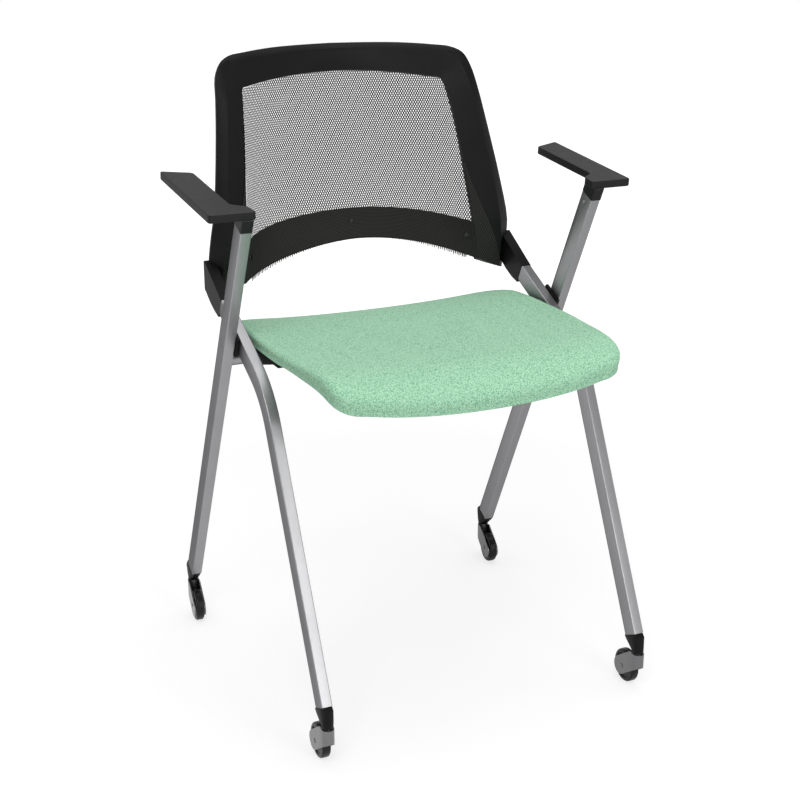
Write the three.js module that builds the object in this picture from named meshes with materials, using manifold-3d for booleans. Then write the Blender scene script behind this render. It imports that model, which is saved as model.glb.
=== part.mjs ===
// A nesting chair on casters, in millimetres. +Z is up and the sitter faces -Y,
// so +X is the sitter's left. On each side a straight tube and a bent tube cross.
// A round cross tube carries the seat, which flips up so that chairs nest.
import * as THREE from 'three';
import { mergeVertices } from 'three/addons/utils/BufferGeometryUtils.js';
import Module from 'manifold-3d';

const wasm = await Module();
wasm.setup();

const degree = Math.PI / 180;
const quarterTurn = Math.PI / 2;

// Clearances, and how far a cutter passes the face that it cuts
const fitGap = 0.3;
const turnGap = 0.4;
const overrun = 3;

// Frame tubes: two crisp corners in front, one full round behind
const tubeWidth = 15;
const tubeDepth = 30;
const tubeWall = 1.5;
const tubeCornerRadius = 1.5;
const bentTubeX = 234.5;
const crossingSpace = 5.1;
const crossingY = 34.6;
const crossingZ = 492;
const straightLean = 25.86 * degree;
const bentLean = 25.8 * degree;
const bentRise = 26.4 * degree;
const bendReach = 108;
const bendRadius = 129;
const bentRearReach = 66.8;
const straightTopReach = 191;
const spigotLength = 24;

// Cross tube between the straight tubes, and the seat's stop pins in it
const crossTubeRadius = 10;
const crossTubeWall = 2;
const crossTubeDrop = 27.5;
const stopPinRadius = 2.5;
const stopPinProud = 5.4;
const stopPinRoot = 4;
const stopPinAngle = 56 * degree;

// Black slab where the tubes cross, and the bolt through it
const crossingBlockLength = 37;
const crossingBlockHeight = 35;
const crossingBlockFloor = 19.4;
const boltRadius = 4;
const boltHeadRadius = 6.6;
const boltHeadDepth = 3;
const boltEndHeight = 1.4;

// Bracket from the bent tube to the back
const bracketReach = 63.6;
const bracketRise = 55.3;
const bracketHeelRise = 11.3;
const bracketMargin = 0.3;
const bracketCornerRadius = 4;
const bracketUnderRunShare = 0.45;
const bracketUnderDropShare = 0.2;

// Back: a moulded arch, a mesh panel and a lumbar band
const backEdgeOut = 1.5;
const backFootInset = 10;
const backFootRise = 5;
const backDepth = 122;
const backHeight = 314.7;
const backRimDepth = 7;
const backFootDepth = 15;
const backFootTaper = 60;
const backEdgeDepth = 5;
const backLean = 16 * degree;
const backShoulder = 1.2;
const backBevelHollow = 1.5;
const backRearSwell = 1.5;
const ridgeFlatShare = 0.1;
const bevelHollowShare = 0.5;
const shoulderShare = 0.35;
const bandFlatness = 5.5;
const topFlatness = 2.5;
const archPower = 1.8;
const bandTopShare = 0.2;
const bandEndShare = 0.004;
const bandThickness = 4.4;
const bandEdgeRadius = 1.2;
const netThickness = 1.2;
const netSetback = 1.4;
const netEdgeGap = 1.2;
const netBandGap = 2;
const netGapShare = 0.62;
const bandScrewShares = [[-0.94, 0.11], [0, 0.12], [0.94, 0.11]];
const bandScrewRadius = 4;
const bandScrewHeight = 1.8;
const bandScrewSink = 0.8;
const bandScrewLength = 2;
const screwShankRadius = 1.6;
const backScrewRadius = 3.8;
const backScrewHeight = 2.4;
const backScrewSeatIn = 24.5;
const backScrewLength = 24;
const backScrewPitch = 15;
const backScrewInset = 4;
const backScrewRise = 9;

// Armrests
const armOuterReach = 50.4;
const armInnerReach = 9.4;
const armFrontInnerReach = 12.1;
const armFrontReach = 21.3;
const armLength = 206;
const armHeight = 21.5;
const armRise = 6.4 * degree;
const armThickness = 11;
const armStepFrontRun = 25;
const armStepRearRun = 39;
const armStepSlant = 3;
const armRearSlant = 18;
const armCornerRadius = 5;
const armEdgeRadius = 1.5;
const collarMargin = 0.5;
const armScrewDrop = 12;
const armScrewRadius = 3.6;
const armScrewHeight = 1.6;

// Foot caps
const capHeight = 23;
const capBottomRadius = 7.6;
const capMargin = 0.8;
const capSkirt = 5;
const capBulge = 2.5;
const capWaistShare = 0.55;
const capTopSquareness = 5;
const capWaistSquareness = 3;
const frontStemOut = 13.4;
const rearStemOut = 8.4;

// Casters, all four alike
const wheelRadius = 23.5;
const wheelWidth = 12;
const wheelEdgeRadius = 2.5;
const wheelHubRadius = 8;
const wheelDishRadius = 17;
const wheelDishDepth = 1.5;
const trail = 27;
const stemRadius = 4;
const stemInCap = 15;
const stemInFork = 8;
const stemCollarRadius = 6;
const stemCollarHeight = 0.9;
const forkWall = 1.8;
const forkSideGap = 1;
const forkNoseRadius = 8.6;
const forkNoseLength = 12;
const forkBossHeight = 16.5;
const forkArmTilt = 35 * degree;
const forkArmAbove = 15.2;
const forkArmBelow = 11.5;
const forkArmEnd = 6;
const forkArmBulge = 24;
const axleRadius = 3;
const axleOverhang = 0.6;
const frontSwivel = -2 * degree;
const rearSwivel = -6 * degree;

// Seat cushion
const seatAboveHinge = 34;
const seatBehindHinge = 97.1;
const seatDepth = 390;
const seatSideGap = 5;
const seatFrontDrawIn = 14;
const seatRearDish = 7.5;
const seatFrontDish = 5;
const seatFrontBow = 12;
const seatTaperRun = 175;
const seatFrontSideRun = 40;
const seatRearCornerRadius = 55;
const seatFrontCornerLength = 34;
const seatCrown = 2.2;
const cushionSide = 12;
const cushionFront = 22;
const waterfallRun = 95;
const waterfallDrop = 26;
const seatRearDrop = 9;
const seatRearFallRun = 105;
const cushionDeepensRun = 185;
const waterfallPower = 2.6;
const seatTaperBlendShare = 0.2;
const seatFrontCornerShare = 0.125;

// The cushion's side from its lower edge up, as shares of its inset and of its
// height, and then its crown as shares of the outline
const cushionSideShares = [
  [0.5, 0],
  [0.17, 0.08],
  [0.08, 0.35],
  [0, 0.6],
  [0.1, 0.82],
  [0.33, 0.96],
  [0.67, 1],
];
const cushionCrownShares = [0.9, 0.66, 0.36];
const undersideShares = [0.4, 0.8, 1];

// Seat pan and hinge brackets under the cushion
const panInset = 13;
const panThickness = 6;
const panRim = 26;
const panEase = 1;
const panFrontEase = 3;
const panRibYShares = [0.3, 0.5, 0.72];
const panWall = 3;
const panTubeGap = 1.5;
const hingeBracketInset = 8;
const hingeBracketThickness = 8;
const hubWall = 2.6;
const hingeFrontRun = 113.9;
const hingeRearRun = 60.1;
const cheekTip = 2;
const hubTangentShare = 0.45;
const hubSweep = 100 * degree;
const flangeFrontRun = 99.9;
const flangeLength = 86;
const flangePadDepth = 2;
const flangeScrewShares = [0.2, 0.8];
const hingeFlangeWidth = 22;
const hingeFlangeThickness = 3;
const hingeLiftAngle = 78 * degree;
const seatScrewRadius = 4.2;
const seatScrewHeight = 2.4;
const seatScrewDepth = 5;

// Places that follow from these sizes
const bentInnerX = bentTubeX - tubeWidth / 2;
const bentOuterX = bentTubeX + tubeWidth / 2;
const straightTubeX = bentTubeX + tubeWidth + crossingSpace;
const straightInnerX = straightTubeX - tubeWidth / 2;
const straightOuterX = straightTubeX + tubeWidth / 2;
const bracketWidth = tubeWidth + 2 * bracketMargin;
const backHalfWidth = bentTubeX + backEdgeOut;
const backScrewSeatX = bentTubeX - backScrewSeatIn;
const stopPinReach = crossTubeRadius + stopPinProud;
const hingeHubRadius = crossTubeRadius + turnGap + hubWall;
const forkInnerHalf = wheelWidth / 2 + forkSideGap;
const forkOuterHalf = forkInnerHalf + forkWall;
const forkInnerNose = forkNoseRadius - forkWall;
const forkBossRadius = forkInnerNose + forkWall / 2;
const bossToAxle = trail - forkBossRadius;
const forkBossFloorZ = wheelRadius + Math.sqrt((wheelRadius + turnGap) ** 2 - bossToAxle ** 2);
const forkTopZ = forkBossFloorZ + forkBossHeight;
const capBottomZ = forkTopZ + fitGap + stemCollarHeight + turnGap;
const footZ = capBottomZ + capHeight;
const seatHalfWidth = bentInnerX - seatSideGap;
const seatFrontHalfWidth = seatHalfWidth - seatFrontDrawIn;
const hingeBracketX = seatHalfWidth - hingeBracketInset;
const hingeInnerX = hingeBracketX - hingeBracketThickness / 2;
const flangeInnerX = hingeInnerX - hingeFlangeWidth;

// Facets
const cornerSteps = 2;
const roundSteps = 6;
const bendSteps = 6;
const pinSteps = 12;
const screwSteps = 8;
const crossTubeSteps = 24;
const wheelSteps = 20;
const capSteps = 16;
const cushionHalfSteps = 22;
const backStationSteps = 3;
const bandSteps = 22;
const netColumns = 7;
const netRows = 7;
const probeShare = 0.01;

// Materials
function finish(color, roughness, metalness) {
  return new THREE.MeshStandardMaterial({ color, roughness, metalness });
}
const silver = finish(0xbdbdbd, 0.32, 1);
const zincSteel = finish(0x9a9a9a, 0.35, 1);
const hoodSteel = finish(0x8e8e8e, 0.3, 1);
const blackPlastic = finish(0x1f1f1f, 0.5, 0);
const armPlastic = finish(0x3a3a3a, 0.62, 0);
const wheelPlastic = finish(0x191919, 0.55, 0);
const meshFabric = finish(0x2b2b2b, 0.85, 0);
const bandFabric = finish(0x1c1c1c, 0.9, 0);
const seatFabric = finish(0xa5d4b5, 0.92, 0);

// Solids from geometry, and back
function asSolid(geometry) {
  const bare = geometry.clone();
  bare.deleteAttribute('normal');
  bare.deleteAttribute('uv');
  const merged = mergeVertices(bare);
  return new wasm.Manifold(new wasm.Mesh({
    numProp: 3,
    vertProperties: new Float32Array(merged.attributes.position.array),
    triVerts: new Uint32Array(merged.index.array),
  }));
}

function asGeometry(solid) {
  const mesh = solid.getMesh();
  const geometry = new THREE.BufferGeometry();
  const positions = new Float32Array(mesh.vertProperties);
  geometry.setAttribute('position', new THREE.BufferAttribute(positions, 3));
  geometry.setIndex(new THREE.BufferAttribute(new Uint32Array(mesh.triVerts), 1));
  geometry.computeVertexNormals();
  return geometry;
}

function joined(...geometries) {
  return geometries.map(asSolid).reduce((whole, part) => whole.add(part));
}

function piece(name, shape, material) {
  const geometry = shape.isBufferGeometry ? shape : asGeometry(shape);
  const mesh = new THREE.Mesh(geometry, material);
  mesh.name = name;
  return mesh;
}

// Points along an arc in a plane
function arc(centreX, centreY, radius, from, to, steps) {
  const points = [];
  for (let i = 0; i <= steps; i += 1) {
    const angle = from + (to - from) * i / steps;
    points.push(new THREE.Vector2(centreX + radius * Math.cos(angle), centreY + radius * Math.sin(angle)));
  }
  return points;
}

// Caps for a ring of points: a fan about its middle, or rungs between mirrored points
function fanCap(ring, start, positions) {
  const count = ring.length;
  const hub = positions.length / 3;
  positions.push(...ring.reduce((sum, point) => sum.add(point), new THREE.Vector3()).divideScalar(count));
  return ring.flatMap((point, i) => [start + i, start + (i + 1) % count, hub]);
}

function rungCap(ring, start) {
  const count = ring.length;
  const triangles = [];
  for (let i = 0; i < count / 2; i += 1) {
    const [a, b, c, d] = [i, i + 1, count - i - 1, (count - i) % count].map((k) => start + k);
    if (b < c) {
      triangles.push(a, b, c);
    }
    if (i > 0) {
      triangles.push(a, c, d);
    }
  }
  return triangles;
}

// A closed skin over rings of points
function loft(rings, cap = fanCap) {
  const count = rings[0].length;
  const positions = rings.flatMap((ring) => ring.flatMap((point) => point.toArray()));
  const indices = [];
  for (let r = 0; r + 1 < rings.length; r += 1) {
    for (let i = 0; i < count; i += 1) {
      const a = r * count + i;
      const b = r * count + (i + 1) % count;
      indices.push(a, b, b + count, a, b + count, a + count);
    }
  }
  indices.push(...cap(rings[0], 0, positions).reverse());
  indices.push(...cap(rings.at(-1), (rings.length - 1) * count, positions));
  return closedGeometry(positions, indices);
}

// Geometry from points and triangles, turned so that its faces point out
function closedGeometry(positions, indices) {
  let volume = 0;
  const corner = (index) => new THREE.Vector3().fromArray(positions, 3 * index);
  for (let i = 0; i < indices.length; i += 3) {
    volume += corner(indices[i]).dot(corner(indices[i + 1]).cross(corner(indices[i + 2])));
  }
  const ordered = volume > 0 ? indices : indices.slice().reverse();
  const geometry = new THREE.BufferGeometry();
  geometry.setAttribute('position', new THREE.Float32BufferAttribute(positions, 3));
  geometry.setIndex(ordered);
  geometry.computeVertexNormals();
  return geometry;
}

// A plate with a side-view outline in Y and Z, extruded along X
function sidePlate(outline, fromX, toX) {
  const geometry = new THREE.ExtrudeGeometry(new THREE.Shape(outline), {
    depth: toX - fromX,
    bevelEnabled: false,
  });
  const toSide = new THREE.Matrix4().makeBasis(
    new THREE.Vector3(0, 1, 0),
    new THREE.Vector3(0, 0, 1),
    new THREE.Vector3(1, 0, 0),
  );
  return geometry.applyMatrix4(toSide).translate(fromX, 0, 0);
}

// A plate with a plan outline in X and Y, extruded along Z
function planPlate(outline, fromZ, toZ) {
  return new THREE.ExtrudeGeometry(new THREE.Shape(outline), {
    depth: toZ - fromZ,
    bevelEnabled: false,
  }).translate(0, 0, fromZ);
}

// Cylinders along X and along Z
function rodX(radius, fromX, toX, y, z, steps = pinSteps) {
  return new THREE.CylinderGeometry(radius, radius, toX - fromX, steps)
    .rotateZ(-quarterTurn)
    .translate((fromX + toX) / 2, y, z);
}

function rodZ(radius, fromZ, toZ, x, y, steps = pinSteps) {
  return new THREE.CylinderGeometry(radius, radius, toZ - fromZ, steps)
    .rotateX(quarterTurn)
    .translate(x, y, (fromZ + toZ) / 2);
}

// A pan-head screw that points along +Z, with its head's seat at the origin
function screwShape(headRadius, headHeight, shankRadius, length) {
  const crown = headHeight / 2;
  const profile = [
    new THREE.Vector2(0, length),
    new THREE.Vector2(shankRadius, length),
    new THREE.Vector2(shankRadius, 0),
    new THREE.Vector2(headRadius, 0),
    new THREE.Vector2(headRadius, -crown),
    new THREE.Vector2(headRadius - crown, -headHeight),
    new THREE.Vector2(0, -headHeight),
  ];
  return new THREE.LatheGeometry(profile.reverse(), screwSteps).rotateX(quarterTurn);
}

// Frame geometry in side view: points hold Y and Z
const crossing = new THREE.Vector2(crossingY, crossingZ);
const straightUp = new THREE.Vector2(-Math.sin(straightLean), Math.cos(straightLean));
const bentLegUp = new THREE.Vector2(Math.sin(bentLean), Math.cos(bentLean));
const bentTopUp = new THREE.Vector2(Math.cos(bentRise), Math.sin(bentRise));

function along(origin, direction, distance) {
  return origin.clone().addScaledVector(direction, distance);
}

function square(direction) {
  return new THREE.Vector2(-direction.y, direction.x);
}

const straightFoot = along(crossing, straightUp, -(crossingZ - footZ) / Math.cos(straightLean));
const straightTop = along(crossing, straightUp, straightTopReach);
const bentCorner = along(crossing, bentTopUp, -bendReach);
const bentFoot = along(bentCorner, bentLegUp, -(bentCorner.y - footZ) / Math.cos(bentLean));
const bentRear = along(crossing, bentTopUp, bentRearReach);
const hinge = along(crossing, straightUp, -crossTubeDrop / Math.cos(straightLean));
const armScrewPoint = along(straightTop, straightUp, -armScrewDrop);
const frontStemY = bentFoot.x - frontStemOut;
const rearStemY = straightFoot.x + rearStemOut;

// The bracket and the back follow the bent tube's end
const bracketRearY = bentRear.x + bracketReach;
const bracketTopZ = bentRear.y + bracketRise;
const bracketHeelZ = bentRear.y + bracketHeelRise;
const backFootY = bracketRearY - backFootInset;
const backFootZ = bracketHeelZ + backFootRise;

// The arm follows the straight tube's end
const armOuterX = straightTubeX + armOuterReach;
const armInnerX = straightTubeX + armInnerReach;
const armFrontInnerX = straightTubeX - armFrontInnerReach;
const armFrontY = straightTop.x - armFrontReach;
const armRearY = armFrontY + armLength;
const armStepFrontY = armFrontY + armStepFrontRun;
const armStepRearY = armFrontY + armStepRearRun;
const armFrontTopZ = straightTop.y + armHeight;

// The seat follows its hinge
const seatTopZ = hinge.y + seatAboveHinge;
const seatRearY = hinge.x + seatBehindHinge;
const seatFrontY = seatRearY - seatDepth;
const seatTaperY = seatFrontY + seatTaperRun;
const seatFrontSideY = seatFrontY + seatFrontSideRun;
const waterfallY = seatFrontY + waterfallRun;
const seatRearFallY = seatRearY - seatRearFallRun;
const cushionDeepensY = seatFrontY + cushionDeepensRun;
const hingeFrontY = hinge.x - hingeFrontRun;
const hingeRearY = hinge.x + hingeRearRun;
const flangeFrontY = hinge.x - flangeFrontRun;
const flangeRearY = flangeFrontY + flangeLength;
const panBottomZ = seatTopZ - cushionSide - fitGap - panEase - panThickness;
const padBottomZ = panBottomZ - dishAt(flangeInnerX, flangeRearY);
const flangeTopZ = padBottomZ - fitGap;

function bentPath(from, to) {
  const turn = quarterTurn - bentLean - bentRise;
  const tangent = bendRadius * Math.tan(turn / 2);
  const start = along(bentCorner, bentLegUp, -tangent);
  const centre = along(start, square(bentLegUp), -bendRadius);
  const stations = [{ point: from, direction: bentLegUp }];
  for (let i = 0; i <= bendSteps; i += 1) {
    const angle = turn * i / bendSteps;
    const direction = bentLegUp.clone().rotateAround(new THREE.Vector2(), -angle);
    stations.push({ point: along(centre, square(direction), bendRadius), direction });
  }
  stations.push({ point: to, direction: bentTopUp });
  return stations;
}

// The tubes' section: X across, and Y towards the crisp corners
function tubeSection(width, depth, corner) {
  const half = width / 2;
  const flat = depth / 2 - corner;
  return [
    ...arc(half - corner, flat, corner, 0, quarterTurn, cornerSteps),
    ...arc(corner - half, flat, corner, quarterTurn, Math.PI, cornerSteps),
    ...arc(0, half - depth / 2, half, Math.PI, 2 * Math.PI, roundSteps),
  ];
}

function sectionAlong(section, stations, x) {
  return loft(stations.map(({ point, direction }) => {
    const front = square(direction);
    return section.map((corner) => new THREE.Vector3(
      x + corner.x,
      point.x + front.x * corner.y,
      point.y + front.y * corner.y,
    ));
  }));
}

function lineStations(from, to, direction) {
  return [{ point: from, direction }, { point: to, direction }];
}

function hollowTube(stations, x) {
  const longer = stations.slice();
  const last = stations.length - 1;
  longer[0] = { ...stations[0], point: along(stations[0].point, stations[0].direction, -overrun) };
  longer[last] = { ...stations[last], point: along(stations[last].point, stations[last].direction, overrun) };
  const outside = tubeSection(tubeWidth, tubeDepth, tubeCornerRadius);
  const bore = tubeSection(tubeWidth - 2 * tubeWall, tubeDepth - 2 * tubeWall, tubeCornerRadius / 2);
  return asSolid(sectionAlong(outside, stations, x)).subtract(asSolid(sectionAlong(bore, longer, x)));
}

// The plug that a moulding pushes into a tube's end, down or up along the tube
function spigot(end, up, reach, x) {
  const slack = 2 * (tubeWall + fitGap);
  const section = tubeSection(tubeWidth - slack, tubeDepth - slack, tubeCornerRadius / 2);
  const mouth = along(end, up, -Math.sign(reach) * overrun);
  return sectionAlong(section, lineStations(mouth, along(end, up, reach), up), x);
}

function boltHoles(clearance) {
  return joined(
    rodX(boltRadius + clearance, bentInnerX - overrun, straightOuterX + overrun, crossingY, crossingZ),
    boltHead(clearance, overrun),
  );
}

function boltHead(clearance, beyond) {
  const slope = (boltHeadRadius - boltRadius) / boltHeadDepth;
  const outerRadius = boltHeadRadius + clearance + slope * beyond;
  return new THREE.CylinderGeometry(outerRadius, boltRadius + clearance, boltHeadDepth + beyond, pinSteps)
    .rotateZ(-quarterTurn)
    .translate(straightOuterX - (boltHeadDepth - beyond) / 2, crossingY, crossingZ);
}

function straightTube() {
  const tube = hollowTube(lineStations(straightFoot, straightTop, straightUp), straightTubeX);
  const screwHole = rodX(
    screwShankRadius + fitGap,
    straightInnerX - overrun,
    straightTubeX,
    armScrewPoint.x,
    armScrewPoint.y,
  );
  return tube.subtract(boltHoles(fitGap)).subtract(asSolid(screwHole));
}

function bentTube() {
  return hollowTube(bentPath(bentFoot, bentRear), bentTubeX).subtract(boltHoles(fitGap));
}

function crossTube() {
  const end = straightInnerX - fitGap;
  const outside = asSolid(rodX(crossTubeRadius, -end, end, hinge.x, hinge.y, crossTubeSteps));
  const boreRadius = crossTubeRadius - crossTubeWall;
  const bore = rodX(boreRadius, -end - overrun, end + overrun, hinge.x, hinge.y, crossTubeSteps);
  return [-1, 1].reduce(
    (tube, side) => tube.subtract(asSolid(stopPinShape(side, fitGap))),
    outside.subtract(asSolid(bore)),
  );
}

// A radial pin on the cross tube; the seat's bracket swings round it
function stopPinShape(side, clearance) {
  const length = stopPinReach - stopPinRoot;
  return new THREE.CylinderGeometry(stopPinRadius + clearance, stopPinRadius + clearance, length, pinSteps)
    .translate(0, stopPinRoot + length / 2, 0)
    .rotateX(stopPinAngle)
    .translate(side * hingeBracketX, hinge.x, hinge.y);
}

function crossingBlock() {
  const across = square(bentTopUp);
  const corner = (u, v) => {
    const middle = along(crossing, bentTopUp, u * crossingBlockLength / 2);
    return along(middle, across, v * crossingBlockHeight / 2);
  };
  const floorZ = crossingZ - crossingBlockFloor;
  const outline = [corner(-1, -1), corner(1, -1), corner(1, 1), corner(-1, 1)];
  const slab = asSolid(sidePlate(outline, bentOuterX + fitGap, straightInnerX - fitGap));
  const below = new THREE.BoxGeometry(crossingBlockLength, 2 * crossingBlockLength, crossingBlockLength)
    .translate(bentOuterX, crossingY, floorZ - crossingBlockLength / 2);
  const roomRadius = crossTubeRadius + fitGap;
  const tubeRoom = rodX(roomRadius, bentInnerX, straightOuterX, hinge.x, hinge.y, crossTubeSteps);
  return slab.subtract(asSolid(below)).subtract(asSolid(tubeRoom)).subtract(boltHoles(fitGap));
}

function crossingBolt() {
  const shankStart = bentInnerX - boltEndHeight / 2;
  const shankEnd = straightOuterX - boltHeadDepth / 2;
  const shank = rodX(boltRadius, shankStart, shankEnd, crossingY, crossingZ);
  const endRadius = boltHeadRadius - boltEndHeight;
  const end = new THREE.CylinderGeometry(endRadius, boltHeadRadius, boltEndHeight, pinSteps)
    .rotateZ(quarterTurn)
    .translate(bentInnerX - fitGap - boltEndHeight / 2, crossingY, crossingZ);
  return joined(shank, boltHead(0, 0), end);
}

// Bracket: a moulding that plugs into the bent tube and meets the back's foot
function bracketOutline(grow) {
  const across = square(bentTopUp);
  const halfDepth = tubeDepth / 2 + grow;
  const face = along(bentRear, bentTopUp, fitGap);
  const top = along(face, across, halfDepth);
  const bottom = along(face, across, -halfDepth);
  const rearY = bracketRearY + grow;
  const topZ = bracketTopZ + grow;
  const heelZ = bracketHeelZ - grow;
  const round = bracketCornerRadius;
  const shape = new THREE.Shape();
  shape.moveTo(top.x, top.y);
  shape.lineTo(bottom.x, bottom.y);
  shape.quadraticCurveTo(
    bottom.x + bracketUnderRunShare * (rearY - bottom.x),
    bottom.y + bracketUnderDropShare * (heelZ - bottom.y),
    rearY - round,
    heelZ,
  );
  shape.quadraticCurveTo(rearY, heelZ, rearY, heelZ + round);
  shape.lineTo(rearY, topZ - round);
  shape.quadraticCurveTo(rearY, topZ, rearY - round, topZ - round / 2);
  return shape.getPoints(roundSteps / 2);
}

function backBracket() {
  const half = bracketWidth / 2;
  const plate = asSolid(sidePlate(bracketOutline(0), bentTubeX - half, bentTubeX + half));
  const plug = asSolid(spigot(bentRear, bentTopUp, -spigotLength, bentTubeX));
  return backScrewPoints().reduce(
    (body, [y, z]) => body.subtract(asSolid(rodX(
      screwShankRadius + fitGap,
      bentTubeX - half - overrun,
      backScrewSeatX + backScrewLength + fitGap,
      y,
      z,
    ))),
    plate.add(plug),
  );
}

function backScrewPoints() {
  const y = bracketRearY - backScrewInset;
  return [0, 1].map((i) => [y, backFootZ + backScrewRise + i * backScrewPitch]);
}

// Back surface: its side edge and its middle line, as shares of the back's size.
// Each row holds shares across, back and up.
const sideEdgeShares = [
  [0.786, 0.0, 0.003],
  [0.758, 0.045, 0.197],
  [0.737, 0.148, 0.366],
  [0.710, 0.279, 0.578],
  [0.685, 0.422, 0.747],
  [0.665, 0.549, 0.836],
];
const middleShares = [
  [0, 0.270, 0.137],
  [0, 0.541, 0.257],
  [0, 0.68, 0.47],
  [0, 0.779, 0.68],
  [0, 0.836, 0.882],
];
const outerShares = [
  [0.981, 0.08, -0.058],
  [0.996, 0.066, 0.06],
  [0.993, 0.005, 0.178],
  [0.95, 0.033, 0.353],
  [0.890, 0.230, 0.644],
  [0.860, 0.369, 0.801],
  [0.839, 0.484, 0.893],
  [0.797, 0.541, 0.950],
  [0.729, 0.627, 0.976],
  [0.636, 0.684, 0.985],
  [0.424, 0.836, 0.996],
  [0.212, 0.943, 0.999],
  [0, 1, 1],
];
const ridgeShares = [
  [0.94, 0.0, -0.048],
  [0.93, -0.066, 0.09],
  [0.909, -0.115, 0.200],
  [0.886, -0.049, 0.346],
  [0.835, 0.148, 0.626],
  [0.801, 0.316, 0.798],
  [0.782, 0.443, 0.877],
  [0.754, 0.525, 0.928],
  [0.703, 0.566, 0.949],
  [0.623, 0.623, 0.958],
  [0.419, 0.762, 0.971],
  [0.212, 0.869, 0.976],
  [0, 0.914, 0.977],
];
const edgeRiseShares = [0, 0.13, 0.235, 0.44, 0.735, 0.93, 0.985];
const edgeAcrossShares = [0.988, 0.93, 0.86, 0.62, 0.31, 0];
function backPoint([across, back, up]) {
  return new THREE.Vector3(
    across * backHalfWidth,
    backFootY + back * backDepth,
    backFootZ + up * backHeight,
  );
}

function curveThrough(points) {
  return new THREE.CatmullRomCurve3(points, false, 'centripetal');
}

const sideEdge = curveThrough(sideEdgeShares.map(backPoint));
const middleLine = curveThrough(middleShares.map(backPoint));

// A point on the mesh surface: across runs -1 to 1, rise runs 0 to 1
function backSurface(across, rise) {
  const edge = sideEdge.getPointAt(THREE.MathUtils.clamp(rise, 0, 1));
  const middle = middleLine.getPointAt(THREE.MathUtils.clamp(rise, 0, 1));
  const flatness = THREE.MathUtils.lerp(bandFlatness, topFlatness, rise);
  const hollow = 1 - Math.abs(across) ** flatness;
  const arch = 1 - Math.abs(across) ** archPower;
  return new THREE.Vector3(
    across * edge.x,
    edge.y + (middle.y - edge.y) * hollow,
    edge.z + (middle.z - edge.z) * arch,
  );
}

// The surface's normal, pointing to the front
function backNormal(across, rise) {
  const a = THREE.MathUtils.clamp(across, probeShare - 1, 1 - probeShare);
  const r = THREE.MathUtils.clamp(rise, probeShare, 1 - probeShare);
  const right = backSurface(a + probeShare, r).sub(backSurface(a - probeShare, r));
  const up = backSurface(a, r + probeShare).sub(backSurface(a, r - probeShare));
  return right.cross(up).normalize();
}

// The back's thickness runs rearward, square to its overall lean
const rearward = new THREE.Vector3(0, Math.cos(backLean), -Math.sin(backLean));

function offBack(across, rise, forward) {
  return backSurface(across, rise).addScaledVector(rearward, -forward);
}

// Half of the arch as rings, from the foot to the middle of the top rail
function archRings() {
  const edgePoints = [
    ...edgeRiseShares.map((rise) => backSurface(1, rise)),
    ...edgeAcrossShares.map((across) => backSurface(across, 1)),
  ];
  const outer = curveThrough(outerShares.map(backPoint));
  const ridge = curveThrough(ridgeShares.map(backPoint));
  const edge = curveThrough(edgePoints);
  const stations = (outerShares.length - 1) * backStationSteps;
  const rings = [];
  for (let i = 0; i <= stations; i += 1) {
    const t = i / stations;
    rings.push(archRing(outer.getPoint(t), ridge.getPoint(t), edge.getPoint(t)));
  }
  return rings;
}

// The arch deepens towards its feet, which hold the screws
function archRing(outer, ridge, edge) {
  const foot = 1 - THREE.MathUtils.smoothstep(edge.z, backFootZ, backFootZ + backFootTaper);
  const rimDepth = THREE.MathUtils.lerp(backRimDepth, backFootDepth, foot);
  const rearEdge = edge.clone().addScaledVector(rearward, rimDepth);
  const rearOuter = outer.clone().addScaledVector(rearward, backEdgeDepth);
  const shoulder = outer.clone().lerp(ridge, shoulderShare).addScaledVector(rearward, -backShoulder);
  const nose = ridge.clone().lerp(edge, ridgeFlatShare);
  const bevel = ridge.clone().lerp(edge, bevelHollowShare).addScaledVector(rearward, backBevelHollow);
  const rearMiddle = rearEdge.clone().lerp(rearOuter, 1 / 2).addScaledVector(rearward, backRearSwell);
  return [outer, shoulder, ridge, nose, bevel, edge, rearEdge, rearMiddle, rearOuter];
}

function mirrored(point) {
  return new THREE.Vector3(-point.x, point.y, point.z);
}

function backFrame() {
  const half = archRings();
  const other = half.slice(0, -1).reverse().map((ring) => ring.map(mirrored));
  let body = asSolid(loft([...half, ...other]));
  const halfWidth = bracketWidth / 2 + fitGap;
  for (const side of [-1, 1]) {
    const centre = side * bentTubeX;
    body = body.subtract(asSolid(sidePlate(bracketOutline(fitGap), centre - halfWidth, centre + halfWidth)));
    for (const [y, z] of backScrewPoints()) {
      const seat = side * backScrewSeatX;
      const holeEnd = side * (bentTubeX + halfWidth);
      const mouth = side * (sideEdgeShares[0][0] * backHalfWidth - 2 * overrun);
      body = body.subtract(asSolid(rodX(
        screwShankRadius + fitGap,
        Math.min(seat, holeEnd),
        Math.max(seat, holeEnd),
        y,
        z,
      )));
      body = body.subtract(asSolid(rodX(
        backScrewRadius + fitGap,
        Math.min(seat, mouth),
        Math.max(seat, mouth),
        y,
        z,
      )));
    }
  }
  return body;
}

function bandRing(across) {
  const r = bandEdgeRadius;
  const half = bandThickness / 2;
  const lowShare = bandEdgeRadius / backHeight;
  return [
    offBack(across, 0, half - r),
    offBack(across, lowShare, half),
    offBack(across, bandTopShare - lowShare, half),
    offBack(across, bandTopShare, half - r),
    offBack(across, bandTopShare, r - half),
    offBack(across, bandTopShare - lowShare, -half),
    offBack(across, lowShare, -half),
    offBack(across, 0, r - half),
  ];
}

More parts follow.
